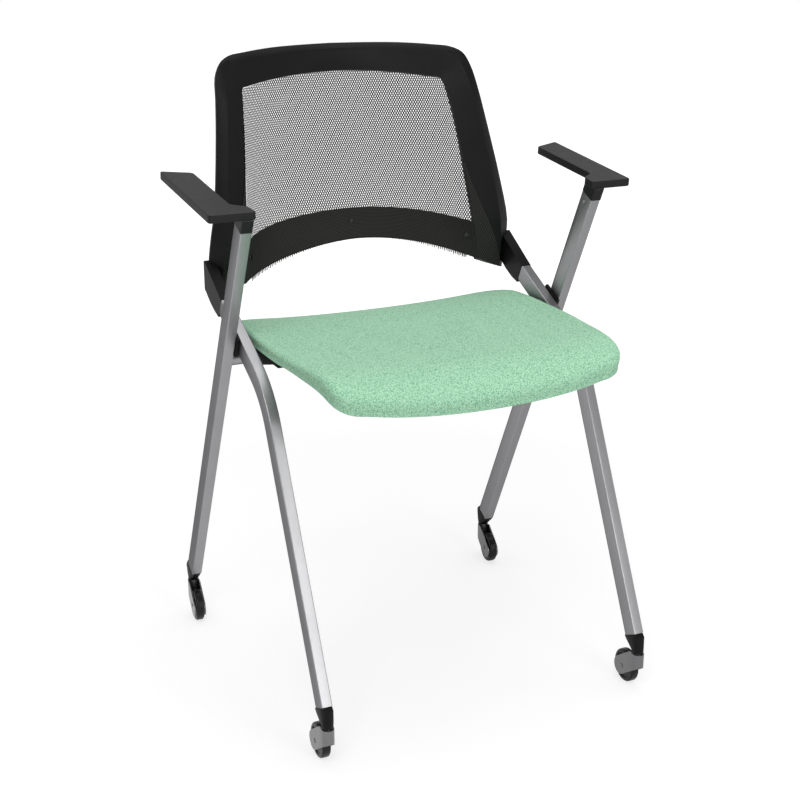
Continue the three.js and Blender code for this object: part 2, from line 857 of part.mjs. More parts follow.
function placedOnBand([across, rise], geometry) {
  const inward = backNormal(across, rise).negate();
  const turn = new THREE.Quaternion().setFromUnitVectors(new THREE.Vector3(0, 0, 1), inward);
  const seat = offBack(across, rise, bandThickness / 2).addScaledVector(inward, bandScrewSink);
  return geometry.applyMatrix4(new THREE.Matrix4().compose(seat, turn, new THREE.Vector3(1, 1, 1)));
}

function bandScrew(place) {
  const screw = screwShape(bandScrewRadius, bandScrewHeight, screwShankRadius, bandScrewLength);
  return placedOnBand(place, screw.translate(0, 0, -fitGap));
}

function lumbarBand() {
  const rings = [];
  const end = 1 - bandEndShare;
  for (let i = 0; i <= bandSteps; i += 1) {
    const angle = Math.PI * i / bandSteps;
    rings.push(bandRing(-end * Math.cos(angle)));
  }
  return bandScrewShares.reduce((body, place) => {
    const bore = rodZ(screwShankRadius + fitGap, -overrun, 2 * bandThickness, 0, 0, screwSteps);
    const headRoom = rodZ(bandScrewRadius + fitGap, -2 * bandThickness, 0, 0, 0);
    return body.subtract(asSolid(placedOnBand(place, bore))).subtract(asSolid(placedOnBand(place, headRoom)));
  }, asSolid(loft(rings)));
}

// A net of staggered diamond gaps, one closed skin. Its lattice counts half cells.
function meshPanel() {
  const vertices = [];
  const places = new Map();
  const triangles = [];
  const across = 1 - netEdgeGap / (sideEdgeShares[0][0] * backHalfWidth);
  const topRise = 1 - netEdgeGap / backHeight;
  const lowRise = bandTopShare + netBandGap / backHeight;

  function vertex([column, row], layer) {
    const key = `${column.toFixed(3)} ${row.toFixed(3)} ${layer}`;
    if (!places.has(key)) {
      const u = (2 * column / netColumns - 1) * across;
      const rise = THREE.MathUtils.lerp(lowRise, topRise, row / netRows);
      const point = offBack(u, rise, -netSetback - layer * netThickness);
      places.set(key, vertices.length / 3);
      vertices.push(...point.toArray());
    }
    return places.get(key);
  }

  function face(...corners) {
    triangles.push(...corners.map((corner) => vertex(corner, 0)));
    triangles.push(...corners.reverse().map((corner) => vertex(corner, 1)));
  }

  function wall(a, b) {
    triangles.push(vertex(b, 0), vertex(a, 0), vertex(a, 1));
    triangles.push(vertex(b, 0), vertex(a, 1), vertex(b, 1));
  }

  function diamond(column, row, reach) {
    return [[column + reach, row], [column, row + reach], [column - reach, row], [column, row - reach]];
  }

  function gapCell(column, row) {
    const outside = diamond(column, row, 1 / 2);
    const inside = diamond(column, row, netGapShare / 2);
    outside.forEach((corner, k) => {
      const next = (k + 1) % outside.length;
      face(corner, outside[next], inside[next]);
      face(corner, inside[next], inside[k]);
      wall(inside[next], inside[k]);
    });
  }

  function borderCell(a, b, tip) {
    face(a, b, tip);
    wall(a, b);
  }

  function cornerCell(corner, next, previous) {
    face(corner, next, previous);
    wall(corner, next);
    wall(previous, corner);
  }

  for (let column = 0; column < netColumns; column += 1) {
    for (let row = 0; row < netRows; row += 1) {
      gapCell(column + 1 / 2, row + 1 / 2);
      if (column > 0 && row > 0) {
        gapCell(column, row);
      }
    }
  }
  const [right, top] = [netColumns, netRows];
  for (let column = 1; column < right; column += 1) {
    borderCell([column - 1 / 2, 0], [column + 1 / 2, 0], [column, 1 / 2]);
    borderCell([column + 1 / 2, top], [column - 1 / 2, top], [column, top - 1 / 2]);
  }
  for (let row = 1; row < top; row += 1) {
    borderCell([right, row - 1 / 2], [right, row + 1 / 2], [right - 1 / 2, row]);
    borderCell([0, row + 1 / 2], [0, row - 1 / 2], [1 / 2, row]);
  }
  cornerCell([0, 0], [1 / 2, 0], [0, 1 / 2]);
  cornerCell([right, 0], [right, 1 / 2], [right - 1 / 2, 0]);
  cornerCell([right, top], [right - 1 / 2, top], [right, top - 1 / 2]);
  cornerCell([0, top], [0, top - 1 / 2], [1 / 2, top]);
  return closedGeometry(vertices, triangles);
}

// A screw from the inner side of the back's foot into the bracket
function backScrew(side, [y, z]) {
  return screwShape(backScrewRadius, backScrewHeight, screwShankRadius, backScrewLength)
    .rotateY(quarterTurn * side)
    .translate(side * (backScrewSeatX - fitGap), y, z);
}

// An outline with rounded corners; each corner holds its place and its radius
function roundedOutline(corners, steps) {
  const shape = new THREE.Shape();
  corners.forEach(([x, y, radius], i) => {
    const before = corners.at(i - 1);
    const after = corners[(i + 1) % corners.length];
    const corner = new THREE.Vector2(x, y);
    const enter = corner.clone().add(new THREE.Vector2(before[0] - x, before[1] - y).setLength(radius));
    const leave = corner.clone().add(new THREE.Vector2(after[0] - x, after[1] - y).setLength(radius));
    if (i === 0) {
      shape.moveTo(enter.x, enter.y);
    } else {
      shape.lineTo(enter.x, enter.y);
    }
    shape.quadraticCurveTo(x, y, leave.x, leave.y);
  });
  shape.closePath();
  const points = shape.getPoints(steps);
  return points.slice(0, -1);
}

// An L-shaped pad on a collar that continues the straight tube
function armrest() {
  const corners = [
    [armOuterX, armFrontY, armCornerRadius],
    [armOuterX, armRearY, armCornerRadius],
    [armInnerX, armRearY - armRearSlant, armCornerRadius],
    [armInnerX, armStepRearY, armCornerRadius],
    [armFrontInnerX + armStepSlant, armStepFrontY, armCornerRadius],
    [armFrontInnerX, armFrontY, armCornerRadius],
  ];
  const outline = roundedOutline(corners, cornerSteps + 1);
  const pad = new THREE.ExtrudeGeometry(new THREE.Shape(outline), {
    depth: armThickness - 2 * armEdgeRadius,
    bevelThickness: armEdgeRadius,
    bevelSize: armEdgeRadius,
    bevelOffset: -armEdgeRadius,
    bevelSegments: 2,
  }).translate(0, -armFrontY, armEdgeRadius - armThickness)
    .rotateX(armRise)
    .translate(0, armFrontY, armFrontTopZ);
  const slope = Math.tan(armRise);
  const middleZ = armFrontTopZ - armThickness / 2;
  const reach = (middleZ + (straightTop.x - armFrontY) * slope - straightTop.y)
    / (straightUp.y - straightUp.x * slope);
  const collar = sectionAlong(
    tubeSection(tubeWidth + 2 * collarMargin, tubeDepth + 2 * collarMargin, tubeCornerRadius),
    lineStations(
      along(straightTop, straightUp, fitGap),
      along(straightTop, straightUp, reach - collarMargin),
      straightUp,
    ),
    straightTubeX,
  );
  const plug = spigot(straightTop, straightUp, -spigotLength, straightTubeX);
  const screwHole = rodX(
    screwShankRadius + fitGap,
    straightInnerX - overrun,
    straightTubeX + overrun,
    armScrewPoint.x,
    armScrewPoint.y,
  );
  return joined(pad, collar, plug).subtract(asSolid(screwHole));
}

function armScrew(side) {
  return screwShape(armScrewRadius, armScrewHeight, screwShankRadius, tubeWidth / 2)
    .rotateY(quarterTurn * side)
    .translate(side * (straightInnerX - fitGap), armScrewPoint.x, armScrewPoint.y);
}

// A foot cap blends from the tube's section to the round seat of the caster
function capRing(centre, direction, halfWidth, halfDepth, squareness) {
  const front = square(direction);
  return Array.from({ length: capSteps }, (unused, i) => {
    const angle = 2 * Math.PI * (i + 1 / 2) / capSteps;
    const [c, s] = [Math.cos(angle), Math.sin(angle)];
    const stretch = (Math.abs(c) ** squareness + Math.abs(s) ** squareness) ** (-1 / squareness);
    return new THREE.Vector3(
      halfWidth * stretch * c,
      centre.x + front.x * halfDepth * stretch * s,
      centre.y + front.y * halfDepth * stretch * s,
    );
  });
}

function footCap(end, up, stemY) {
  const upright = new THREE.Vector2(0, 1);
  const outward = Math.sign(stemY - end.x);
  const halfWidth = tubeWidth / 2 + capMargin;
  const halfDepth = tubeDepth / 2 + capMargin;
  const top = along(end, up, -fitGap);
  const skirt = along(top, up, -capSkirt);
  skirt.x += outward * capBulge;
  const waist = new THREE.Vector2(
    THREE.MathUtils.lerp(skirt.x, stemY, capWaistShare),
    THREE.MathUtils.lerp(skirt.y, capBottomZ, capWaistShare),
  );
  const waistUp = up.clone().lerp(upright, capWaistShare).normalize();
  const waistDepth = THREE.MathUtils.lerp(halfDepth, capBottomRadius, capWaistShare);
  const bottom = new THREE.Vector2(stemY, capBottomZ);
  const body = loft([
    capRing(top, up, halfWidth, halfDepth, capTopSquareness),
    capRing(skirt, up, halfWidth, halfDepth, capTopSquareness),
    capRing(waist, waistUp, (halfWidth + capBottomRadius) / 2, waistDepth, capWaistSquareness),
    capRing(bottom, upright, capBottomRadius, capBottomRadius, 2),
  ]);
  const plug = spigot(end, up, spigotLength, 0);
  const socketTop = capBottomZ + stemInCap + fitGap;
  const socket = rodZ(stemRadius + turnGap, capBottomZ - overrun, socketTop, 0, stemY);
  return joined(body, plug).subtract(asSolid(socket));
}

// Casters stand in their own frame: the stem's axis is Z, and the wheel trails to +Y
function forkPlan(half, noseRadius, tail) {
  return [
    new THREE.Vector2(half, tail),
    new THREE.Vector2(-half, tail),
    new THREE.Vector2(-half, forkNoseLength),
    ...arc(0, 0, noseRadius, Math.PI, 2 * Math.PI, roundSteps),
    new THREE.Vector2(half, forkNoseLength),
  ];
}

// Side view of the hood: a band that leans down to the axle and ends in a bulge
function forkSide() {
  const axle = new THREE.Vector2(trail, wheelRadius);
  const down = new THREE.Vector2(Math.cos(forkArmTilt), -Math.sin(forkArmTilt));
  const above = square(down);
  const spot = (run, rise) => along(along(axle, down, run), above, rise);
  const front = -forkNoseRadius - overrun;
  const slope = Math.tan(forkArmTilt);
  const onLine = (rise, y) => spot(0, rise).y - (y - spot(0, rise).x) * slope;
  const flatEnd = spot(0, forkArmAbove).x + (spot(0, forkArmAbove).y - forkTopZ) / slope;
  const shape = new THREE.Shape();
  const [topEnd, lowEnd] = [spot(forkArmEnd, forkArmAbove), spot(forkArmEnd, -forkArmBelow)];
  const [topPull, lowPull] = [spot(forkArmBulge, forkArmAbove), spot(forkArmBulge, -forkArmBelow)];
  shape.moveTo(front, forkTopZ);
  shape.lineTo(front, onLine(-forkArmBelow, front));
  shape.lineTo(lowEnd.x, lowEnd.y);
  shape.bezierCurveTo(lowPull.x, lowPull.y, topPull.x, topPull.y, topEnd.x, topEnd.y);
  shape.lineTo(flatEnd, forkTopZ);
  return shape.getPoints(roundSteps);
}

function casterFork() {
  const tail = trail + forkArmBulge + overrun;
  const height = forkTopZ + overrun;
  const band = asSolid(sidePlate(forkSide(), -forkOuterHalf - overrun, forkOuterHalf + overrun));
  const outside = asSolid(planPlate(forkPlan(forkOuterHalf, forkNoseRadius, tail), 0, height));
  const roomPlan = forkPlan(forkInnerHalf, forkInnerNose, tail + overrun);
  const room = asSolid(planPlate(roomPlan, -overrun, height + overrun));
  const boss = asSolid(rodZ(forkBossRadius, forkBossFloorZ, height + 2 * overrun, 0, 0));
  const stemHole = rodZ(stemRadius + fitGap, forkTopZ - stemInFork - fitGap, height, 0, 0);
  const holeEnd = forkOuterHalf + overrun;
  const axleHole = rodX(axleRadius + fitGap, -holeEnd, holeEnd, trail, wheelRadius);
  return outside.intersect(band)
    .subtract(room.subtract(boss))
    .subtract(asSolid(stemHole))
    .subtract(asSolid(axleHole));
}

function casterStem() {
  const collarZ = (forkTopZ + capBottomZ) / 2;
  return joined(
    rodZ(stemRadius, forkTopZ - stemInFork, capBottomZ + stemInCap, 0, 0),
    rodZ(stemCollarRadius, collarZ - stemCollarHeight / 2, collarZ + stemCollarHeight / 2, 0, 0),
  );
}

function casterAxle() {
  const end = forkOuterHalf + axleOverhang;
  return rodX(axleRadius, -end, end, trail, wheelRadius);
}

function casterWheel() {
  const half = wheelWidth / 2;
  const bore = axleRadius + turnGap;
  const dishFloor = half - wheelDishDepth;
  const shoulder = wheelRadius - wheelEdgeRadius;
  const side = [
    new THREE.Vector2(bore, half),
    new THREE.Vector2(wheelHubRadius, half),
    new THREE.Vector2(wheelHubRadius, dishFloor),
    new THREE.Vector2(wheelDishRadius, dishFloor),
    new THREE.Vector2(wheelDishRadius + wheelDishDepth, half),
    ...arc(shoulder, half - wheelEdgeRadius, wheelEdgeRadius, quarterTurn, 0, cornerSteps + 1),
  ];
  const otherSide = side.map(({ x, y }) => new THREE.Vector2(x, -y)).reverse();
  const profile = [...side, ...otherSide];
  profile.push(profile[0].clone());
  const facetTurn = Math.PI / wheelSteps;
  const facetScale = 1 / Math.cos(facetTurn);
  return new THREE.LatheGeometry(profile.reverse(), wheelSteps)
    .rotateY(facetTurn)
    .scale(facetScale, 1, facetScale)
    .rotateZ(-quarterTurn)
    .translate(0, trail, wheelRadius);
}

function caster(place, x, stemY, swivel) {
  const group = new THREE.Group();
  group.add(
    piece(`caster_fork_${place}`, casterFork(), hoodSteel),
    piece(`caster_stem_${place}`, casterStem(), zincSteel),
    piece(`caster_axle_${place}`, casterAxle(), zincSteel),
    piece(`caster_wheel_${place}`, casterWheel(), wheelPlastic),
  );
  group.position.set(x, stemY, 0);
  group.rotation.z = swivel;
  return group;
}

// Seat outline in plan, drawn in by an inset, as evenly spaced points
function seatOutline(inset) {
  const half = seatHalfWidth - inset;
  const frontHalf = seatFrontHalfWidth - inset;
  const rearY = seatRearY - inset;
  const frontSideY = seatFrontSideY + inset;
  const frontEdgeY = seatFrontY + seatFrontBow + inset;
  const shape = new THREE.Shape();
  const taper = [half, seatTaperY];
  const frontSide = [frontHalf, frontSideY];
  const frontCorner = [frontHalf - seatFrontCornerShare * seatFrontCornerLength, frontEdgeY];
  const round = seatRearCornerRadius - inset;
  shape.moveTo(0, rearY);
  shape.lineTo(half - round, rearY);
  shape.absarc(half - round, rearY - round, round, quarterTurn, 0, true);
  shape.lineTo(half, seatTaperY + seatFrontCornerLength);
  shape.quadraticCurveTo(...taper, ...between(taper, frontSide, seatTaperBlendShare));
  shape.lineTo(...frontSide);
  shape.quadraticCurveTo(...frontCorner, frontCorner[0] - seatFrontCornerLength, frontCorner[1]);
  shape.quadraticCurveTo(frontHalf / 2, frontEdgeY - seatFrontBow, 0, frontEdgeY - seatFrontBow);
  const leftSide = shape.getSpacedPoints(cushionHalfSteps);
  const rightSide = leftSide.slice(1, -1).reverse().map(({ x, y }) => new THREE.Vector2(-x, y));
  return [...leftSide, ...rightSide];
}

function between([x0, y0], [x1, y1], share) {
  return [THREE.MathUtils.lerp(x0, x1, share), THREE.MathUtils.lerp(y0, y1, share)];
}

function frontShare(y) {
  return THREE.MathUtils.clamp((waterfallY - y) / (waterfallY - seatFrontY), 0, 1);
}

// How far the seat's middle lies below its sides
function dishAt(x, y) {
  const rearShare = (y - seatFrontY) / seatDepth;
  const depth = THREE.MathUtils.lerp(seatFrontDish, seatRearDish, rearShare);
  return depth * (1 - (x / seatHalfWidth) ** 2);
}

// Height of the seat's top: it falls at the rear, rolls over in front and is dished across
function seatTopAt(x, y) {
  const rearShare = THREE.MathUtils.clamp((y - seatRearFallY) / (seatRearY - seatRearFallY), 0, 1);
  const fall = seatRearDrop * rearShare ** 2 + waterfallDrop * frontShare(y) ** waterfallPower;
  return seatTopZ - fall - dishAt(x, y);
}

function cushionThicknessAt(y) {
  const front = THREE.MathUtils.smoothstep(-y, -cushionDeepensY, -seatFrontY);
  return THREE.MathUtils.lerp(cushionSide, cushionFront, front);
}

function seatUndersideAt(x, y) {
  return seatTopAt(x, y) - cushionThicknessAt(y);
}

function seatRing(inset, heightAt, shrink = 1) {
  const middleY = (seatRearY + seatFrontY) / 2;
  return seatOutline(inset).map(({ x, y }) => {
    const ringX = x * shrink;
    const ringY = middleY + (y - middleY) * shrink;
    return new THREE.Vector3(ringX, ringY, heightAt(ringX, ringY));
  });
}

// Crowned top, drawn-in sides and a rolled front
function seatCushion() {
  const level = (share) => (x, y) => seatUndersideAt(x, y) + share * cushionThicknessAt(y);
  const crowned = (shrink) => (x, y) => seatTopAt(x, y) + seatCrown * (1 - shrink ** 2);
  const topInset = cushionSide * cushionSideShares.at(-1)[0];
  return loft([
    ...undersideShares.map((shrink) => seatRing(panInset, seatUndersideAt, shrink)),
    ...cushionSideShares.map(([inset, height]) => seatRing(cushionSide * inset, level(height))),
    ...cushionCrownShares.map((shrink) => seatRing(topInset, crowned(shrink), shrink)),
  ], rungCap);
}

// A moulded pan under the cushion, open below between its ribs
function seatPan() {
  const top = (x, y) => seatUndersideAt(x, y) - fitGap - panEase - panFrontEase * frontShare(y);
  const bottom = (x, y) => top(x, y) - panThickness;
  const floor = (x, y) => top(x, y) - panWall;
  const roomInset = panInset + panRim;
  const outward = undersideShares;
  const inward = undersideShares.toReversed();
  const tray = asSolid(loft([
    ...outward.map((shrink) => seatRing(panInset + panWall, bottom, shrink)),
    seatRing(panInset, (x, y) => bottom(x, y) + panWall / 2),
    ...inward.map((shrink) => seatRing(panInset, top, shrink)),
  ], rungCap));
  const room = asSolid(loft([
    seatRing(roomInset, (x, y) => bottom(x, y) - seatRearDish - overrun),
    ...inward.map((shrink) => seatRing(roomInset, floor, shrink)),
  ], rungCap));
  const span = 2 * seatHalfWidth;
  const ribs = panRibYShares.map((share) => {
    const y = THREE.MathUtils.lerp(seatFrontY, seatRearY, share);
    return asSolid(new THREE.BoxGeometry(span, panWall, span).translate(0, y, seatTopZ));
  });
  const spine = asSolid(new THREE.BoxGeometry(panWall, span, span).translate(0, 0, seatTopZ));
  const cells = ribs.reduce((left, rib) => left.subtract(rib), room.subtract(spine));
  const padWidth = hingeFlangeWidth - panWall;
  const pad = (side) => asSolid(new THREE.BoxGeometry(padWidth, flangeLength, flangePadDepth)
    .translate(side * (flangeInnerX + padWidth / 2), flangeFrontY + flangeLength / 2, padBottomZ + flangePadDepth / 2));
  const tubeRadius = crossTubeRadius + panTubeGap;
  const tubeRoom = rodX(tubeRadius, -seatHalfWidth, seatHalfWidth, hinge.x, hinge.y, crossTubeSteps);
  let body = tray.subtract(cells).add(pad(-1)).add(pad(1)).subtract(asSolid(tubeRoom));
  for (const [x, y] of seatScrewPlaces()) {
    const hole = (side) => rodZ(
      screwShankRadius + fitGap,
      padBottomZ - overrun,
      padBottomZ + seatScrewDepth,
      side * x,
      y,
    );
    body = body.subtract(asSolid(hole(-1))).subtract(asSolid(hole(1)));
  }
  return body;
}

function seatScrewPlaces() {
  const x = flangeInnerX + hingeFlangeWidth / 2;
  return flangeScrewShares.map((share) => [x, THREE.MathUtils.lerp(flangeFrontY, flangeRearY, share)]);
}

function seatScrew(x, y) {
  const length = hingeFlangeThickness + seatScrewDepth - fitGap;
  return screwShape(seatScrewRadius, seatScrewHeight, screwShankRadius, length)
    .translate(x, y, flangeTopZ - hingeFlangeThickness - fitGap);
}

// Hinge bracket: a cheek under the seat, with a hub round the cross tube,
// a window for the stop pin and a flange under the pan
function hingeBracket() {
  const fromX = hingeInnerX;
  const toX = hingeInnerX + hingeBracketThickness;
  const topAt = (y) => seatUndersideAt(hingeInnerX, y) - fitGap;
  const hubTangent = hingeHubRadius * hubTangentShare;
  const hubDrop = Math.sqrt(hingeHubRadius ** 2 - hubTangent ** 2);
  const outline = new THREE.Shape();
  outline.moveTo(hingeFrontY, topAt(hingeFrontY));
  outline.lineTo(hingeFrontY, topAt(hingeFrontY) - cheekTip);
  outline.lineTo(hinge.x - hubTangent, hinge.y - hubDrop);
  const start = Math.atan2(-hubDrop, -hubTangent);
  outline.absarc(hinge.x, hinge.y, hingeHubRadius, start, start + hubSweep, false);
  outline.lineTo(hingeRearY, topAt(hingeRearY) - cheekTip);
  outline.lineTo(hingeRearY, topAt(hingeRearY));
  outline.lineTo(seatRearFallY, topAt(seatRearFallY));
  const cheek = asSolid(sidePlate(outline.getPoints(roundSteps / 2), fromX, toX));
  const flange = asSolid(new THREE.BoxGeometry(
    hingeFlangeWidth + hingeBracketThickness / 2,
    flangeLength,
    hingeFlangeThickness,
  ).translate(
    flangeInnerX + (hingeFlangeWidth + hingeBracketThickness / 2) / 2,
    (flangeFrontY + flangeRearY) / 2,
    flangeTopZ - hingeFlangeThickness / 2,
  ));
  const [boreStart, boreEnd] = [fromX - overrun, toX + overrun];
  const bore = rodX(crossTubeRadius + turnGap, boreStart, boreEnd, hinge.x, hinge.y, crossTubeSteps);
  const slack = Math.asin((stopPinRadius + fitGap) / crossTubeRadius);
  const [shut, lifted] = [stopPinAngle - slack, stopPinAngle + hingeLiftAngle + slack];
  const windowOutline = [
    new THREE.Vector2(hinge.x, hinge.y),
    ...arc(hinge.x, hinge.y, stopPinReach + turnGap, shut, lifted, roundSteps),
  ];
  const stopWindow = sidePlate(windowOutline, fromX - overrun, toX + overrun);
  let body = cheek.add(flange).subtract(asSolid(bore)).subtract(asSolid(stopWindow));
  for (const [x, y] of seatScrewPlaces()) {
    const hole = rodZ(screwShankRadius + fitGap, flangeTopZ - 2 * overrun, flangeTopZ + overrun, x, y);
    body = body.subtract(asSolid(hole));
  }
  return body;
}

const chair = new THREE.Group();

function addPair(name, shapeFor, material) {
  chair.add(piece(name.replace('SIDE', 'right'), shapeFor(-1), material));
  chair.add(piece(name.replace('SIDE', 'left'), shapeFor(1), material));
}

// Pieces whose left-hand shape is mirrored for the right
function addMirrored(name, leftShape, material) {
  addPair(name, (side) => (side > 0 ? leftShape : leftShape.mirror([1, 0, 0])), material);
}

addMirrored('straight_tube_SIDE', straightTube(), silver);
addMirrored('bent_tube_SIDE', bentTube(), silver);
chair.add(piece('seat_cross_tube', crossTube(), silver));
addMirrored('crossing_block_SIDE', crossingBlock(), blackPlastic);
addMirrored('crossing_bolt_SIDE', crossingBolt(), zincSteel);
addPair('stop_pin_SIDE', (side) => stopPinShape(side, 0), zincSteel);
addMirrored('back_bracket_SIDE', backBracket(), blackPlastic);

chair.add(piece('back_frame', backFrame(), blackPlastic));
chair.add(piece('back_mesh', meshPanel(), meshFabric));
chair.add(piece('lumbar_band', lumbarBand(), bandFabric));
['right', 'centre', 'left'].forEach((word, i) => {
  chair.add(piece(`band_screw_${word}`, bandScrew(bandScrewShares[i]), zincSteel));
});
['low', 'high'].forEach((word, i) => {
  addPair(`back_screw_SIDE_${word}`, (side) => backScrew(side, backScrewPoints()[i]), zincSteel);
});

addMirrored('armrest_SIDE', armrest(), armPlastic);
addPair('armrest_screw_SIDE', armScrew, zincSteel);

const frontCap = footCap(bentFoot, bentLegUp, frontStemY);
const rearCap = footCap(straightFoot, straightUp, rearStemY);
addPair('foot_cap_front_SIDE', (side) => frontCap.translate([side * bentTubeX, 0, 0]), blackPlastic);
addPair('foot_cap_rear_SIDE', (side) => rearCap.translate([side * straightTubeX, 0, 0]), blackPlastic);

for (const [word, side] of [['right', -1], ['left', 1]]) {
  chair.add(caster(`front_${word}`, side * bentTubeX, frontStemY, frontSwivel));
  chair.add(caster(`rear_${word}`, side * straightTubeX, rearStemY, Math.PI + rearSwivel));
}

chair.add(piece('seat_cushion', seatCushion(), seatFabric));
chair.add(piece('seat_pan', seatPan(), blackPlastic));
addMirrored('seat_hinge_bracket_SIDE', hingeBracket(), blackPlastic);
['front', 'rear'].forEach((word, i) => {
  const [x, y] = seatScrewPlaces()[i];
  addPair(`seat_screw_${word}_SIDE`, (side) => seatScrew(side * x, y), zincSteel);
});

// The origin lies under the middle of the chair, on the floor
const extent = new THREE.Box3().setFromObject(chair, true);
chair.position.set(0, -(extent.min.y + extent.max.y) / 2, -extent.min.z);

export default chair;
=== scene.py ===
import math

import bmesh
import bpy
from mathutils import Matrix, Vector


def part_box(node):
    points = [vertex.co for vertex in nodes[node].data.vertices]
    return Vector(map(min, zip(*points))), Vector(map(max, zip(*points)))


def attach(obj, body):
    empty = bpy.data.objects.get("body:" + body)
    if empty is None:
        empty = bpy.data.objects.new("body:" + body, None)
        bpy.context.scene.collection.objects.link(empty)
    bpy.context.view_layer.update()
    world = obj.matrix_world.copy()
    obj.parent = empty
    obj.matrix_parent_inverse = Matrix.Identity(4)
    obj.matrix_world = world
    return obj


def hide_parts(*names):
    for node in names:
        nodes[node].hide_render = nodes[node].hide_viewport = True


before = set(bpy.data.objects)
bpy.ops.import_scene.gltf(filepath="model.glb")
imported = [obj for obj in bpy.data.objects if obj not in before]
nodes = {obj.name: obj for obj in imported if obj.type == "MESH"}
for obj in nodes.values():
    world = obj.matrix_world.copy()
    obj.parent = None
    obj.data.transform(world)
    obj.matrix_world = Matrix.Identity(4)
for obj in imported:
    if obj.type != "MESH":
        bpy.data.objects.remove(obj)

scene = bpy.context.scene
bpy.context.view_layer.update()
MM = 0.001

# ---------------------------------------------------------------- camera, fitted to the photo

PHOTO_SIZE, FOCAL_LENGTH, CENTRE_SHIFT = 800, 1475.9, 15  # pixels
SENSOR_WIDTH = 36
CAMERA_PLACE, CAMERA_DOWN, CAMERA_TURN = (-0.84952, -1.78368, 1.04397), 19.097, -25.172
camera_data = bpy.data.cameras.new("photo_camera")
camera_data.sensor_fit = "HORIZONTAL"
camera_data.sensor_width = SENSOR_WIDTH
camera_data.lens = SENSOR_WIDTH * FOCAL_LENGTH / PHOTO_SIZE
camera_data.shift_y = CENTRE_SHIFT / PHOTO_SIZE
camera = bpy.data.objects.new("photo_camera", camera_data)
camera.location = CAMERA_PLACE
camera.rotation_euler = (math.radians(90 - CAMERA_DOWN), 0, math.radians(CAMERA_TURN))
scene.collection.objects.link(camera)
scene.camera = camera

# ---------------------------------------------------------------- node helpers


def new_material(name, color, roughness, metallic=0.0):
    material = bpy.data.materials.new(name)
    material.use_nodes = True
    shader = material.node_tree.nodes["Principled BSDF"]
    shader.inputs["Base Color"].default_value = (*color, 1)
    shader.inputs["Roughness"].default_value = roughness
    shader.inputs["Metallic"].default_value = metallic
    return material, material.node_tree, shader


def add_node(tree, kind, inputs=None, **settings):
    node = tree.nodes.new(kind)
    for key, value in settings.items():
        setattr(node, key, value)
    for key, value in (inputs or {}).items():
        if isinstance(value, bpy.types.NodeSocket):
            tree.links.new(value, node.inputs[key])
        else:
            node.inputs[key].default_value = value
    return node


def position(tree):
    return add_node(tree, "ShaderNodeTexCoord").outputs["Object"]


def noise(tree, vector, scale, detail=2.0, roughness=0.5):
    values = {"Vector": vector, "Scale": scale, "Detail": detail, "Roughness": roughness}
    return add_node(tree, "ShaderNodeTexNoise", values).outputs["Fac"]


def remap(tree, value, low, high, new_low, new_high):
    values = {
        "Value": value, "From Min": low, "From Max": high, "To Min": new_low, "To Max": new_high,
    }
    return add_node(tree, "ShaderNodeMapRange", values).outputs["Result"]


def mix_colors(tree, share, first, second):
    node = add_node(tree, "ShaderNodeMix", data_type="RGBA")
    for index, value in ((0, share), (6, first), (7, second)):
        if isinstance(value, bpy.types.NodeSocket):
            tree.links.new(value, node.inputs[index])
        elif index == 0:
            node.inputs[index].default_value = value
        else:
            node.inputs[index].default_value = (*value, 1)
    return node.outputs[2]


def math_node(tree, operation, first, second=0.0):
    node = add_node(tree, "ShaderNodeMath", operation=operation)
    for index, value in ((0, first), (1, second)):
        if isinstance(value, bpy.types.NodeSocket):
            tree.links.new(value, node.inputs[index])
        else:
            node.inputs[index].default_value = value
    return node.outputs[0]


def bump(tree, shader, height, strength, distance):
    values = {"Height": height, "Strength": strength, "Distance": distance}
    node = add_node(tree, "ShaderNodeBump", values)
    tree.links.new(node.outputs["Normal"], shader.inputs["Normal"])


def connect(tree, shader, color, roughness=None):
    tree.links.new(color, shader.inputs["Base Color"])
    if roughness is not None:
        tree.links.new(roughness, shader.inputs["Roughness"])


def tone(color, share):
    return tuple(share * c for c in color)


# ---------------------------------------------------------------- materials

# in millimetres: the net's cell across and up, the band's ribs and stitches
NET_CELL = (3.66, 6.37)
RIB_PITCH, STITCH_PITCH = 2.85, 3.6


def silver_material(name, color, roughness, metallic=1.0, edge_tint=0.1):
    """Satin metal or metallic paint; a low edge tint darkens faces seen at a slant."""
    material, tree, shader = new_material(name, color, roughness, metallic)
    shader.inputs["Specular Tint"].default_value = (edge_tint, edge_tint, edge_tint, 1)
    place = position(tree)
    fine = noise(tree, place, 900, 3)
    broad = noise(tree, place, 14, 2)
    cloudy = mix_colors(tree, remap(tree, broad, 0.35, 0.65, 0, 1), tone(color, 0.93), color)
    connect(tree, shader, cloudy, remap(tree, fine, 0.3, 0.7, roughness - 0.03, roughness + 0.04))
    bump(tree, shader, fine, 0.05, 0.0001)
    return material


def plastic_material(name, color, roughness, grain_scale, grain, specular=0.25):
    """Moulded plastic with a fine spark-eroded grain."""
    material, tree, shader = new_material(name, color, roughness)
    shader.inputs["Specular IOR Level"].default_value = specular
    place = position(tree)
    fine = noise(tree, place, grain_scale, 3, 0.6)
    broad = noise(tree, place, 22, 2)
    cloudy = mix_colors(tree, remap(tree, broad, 0.35, 0.7, 0, 1), color, tone(color, 1.25))
    connect(tree, shader, cloudy, remap(tree, fine, 0.3, 0.7, roughness - 0.05, roughness + 0.07))
    bump(tree, shader, fine, grain, 0.00015)
    return material


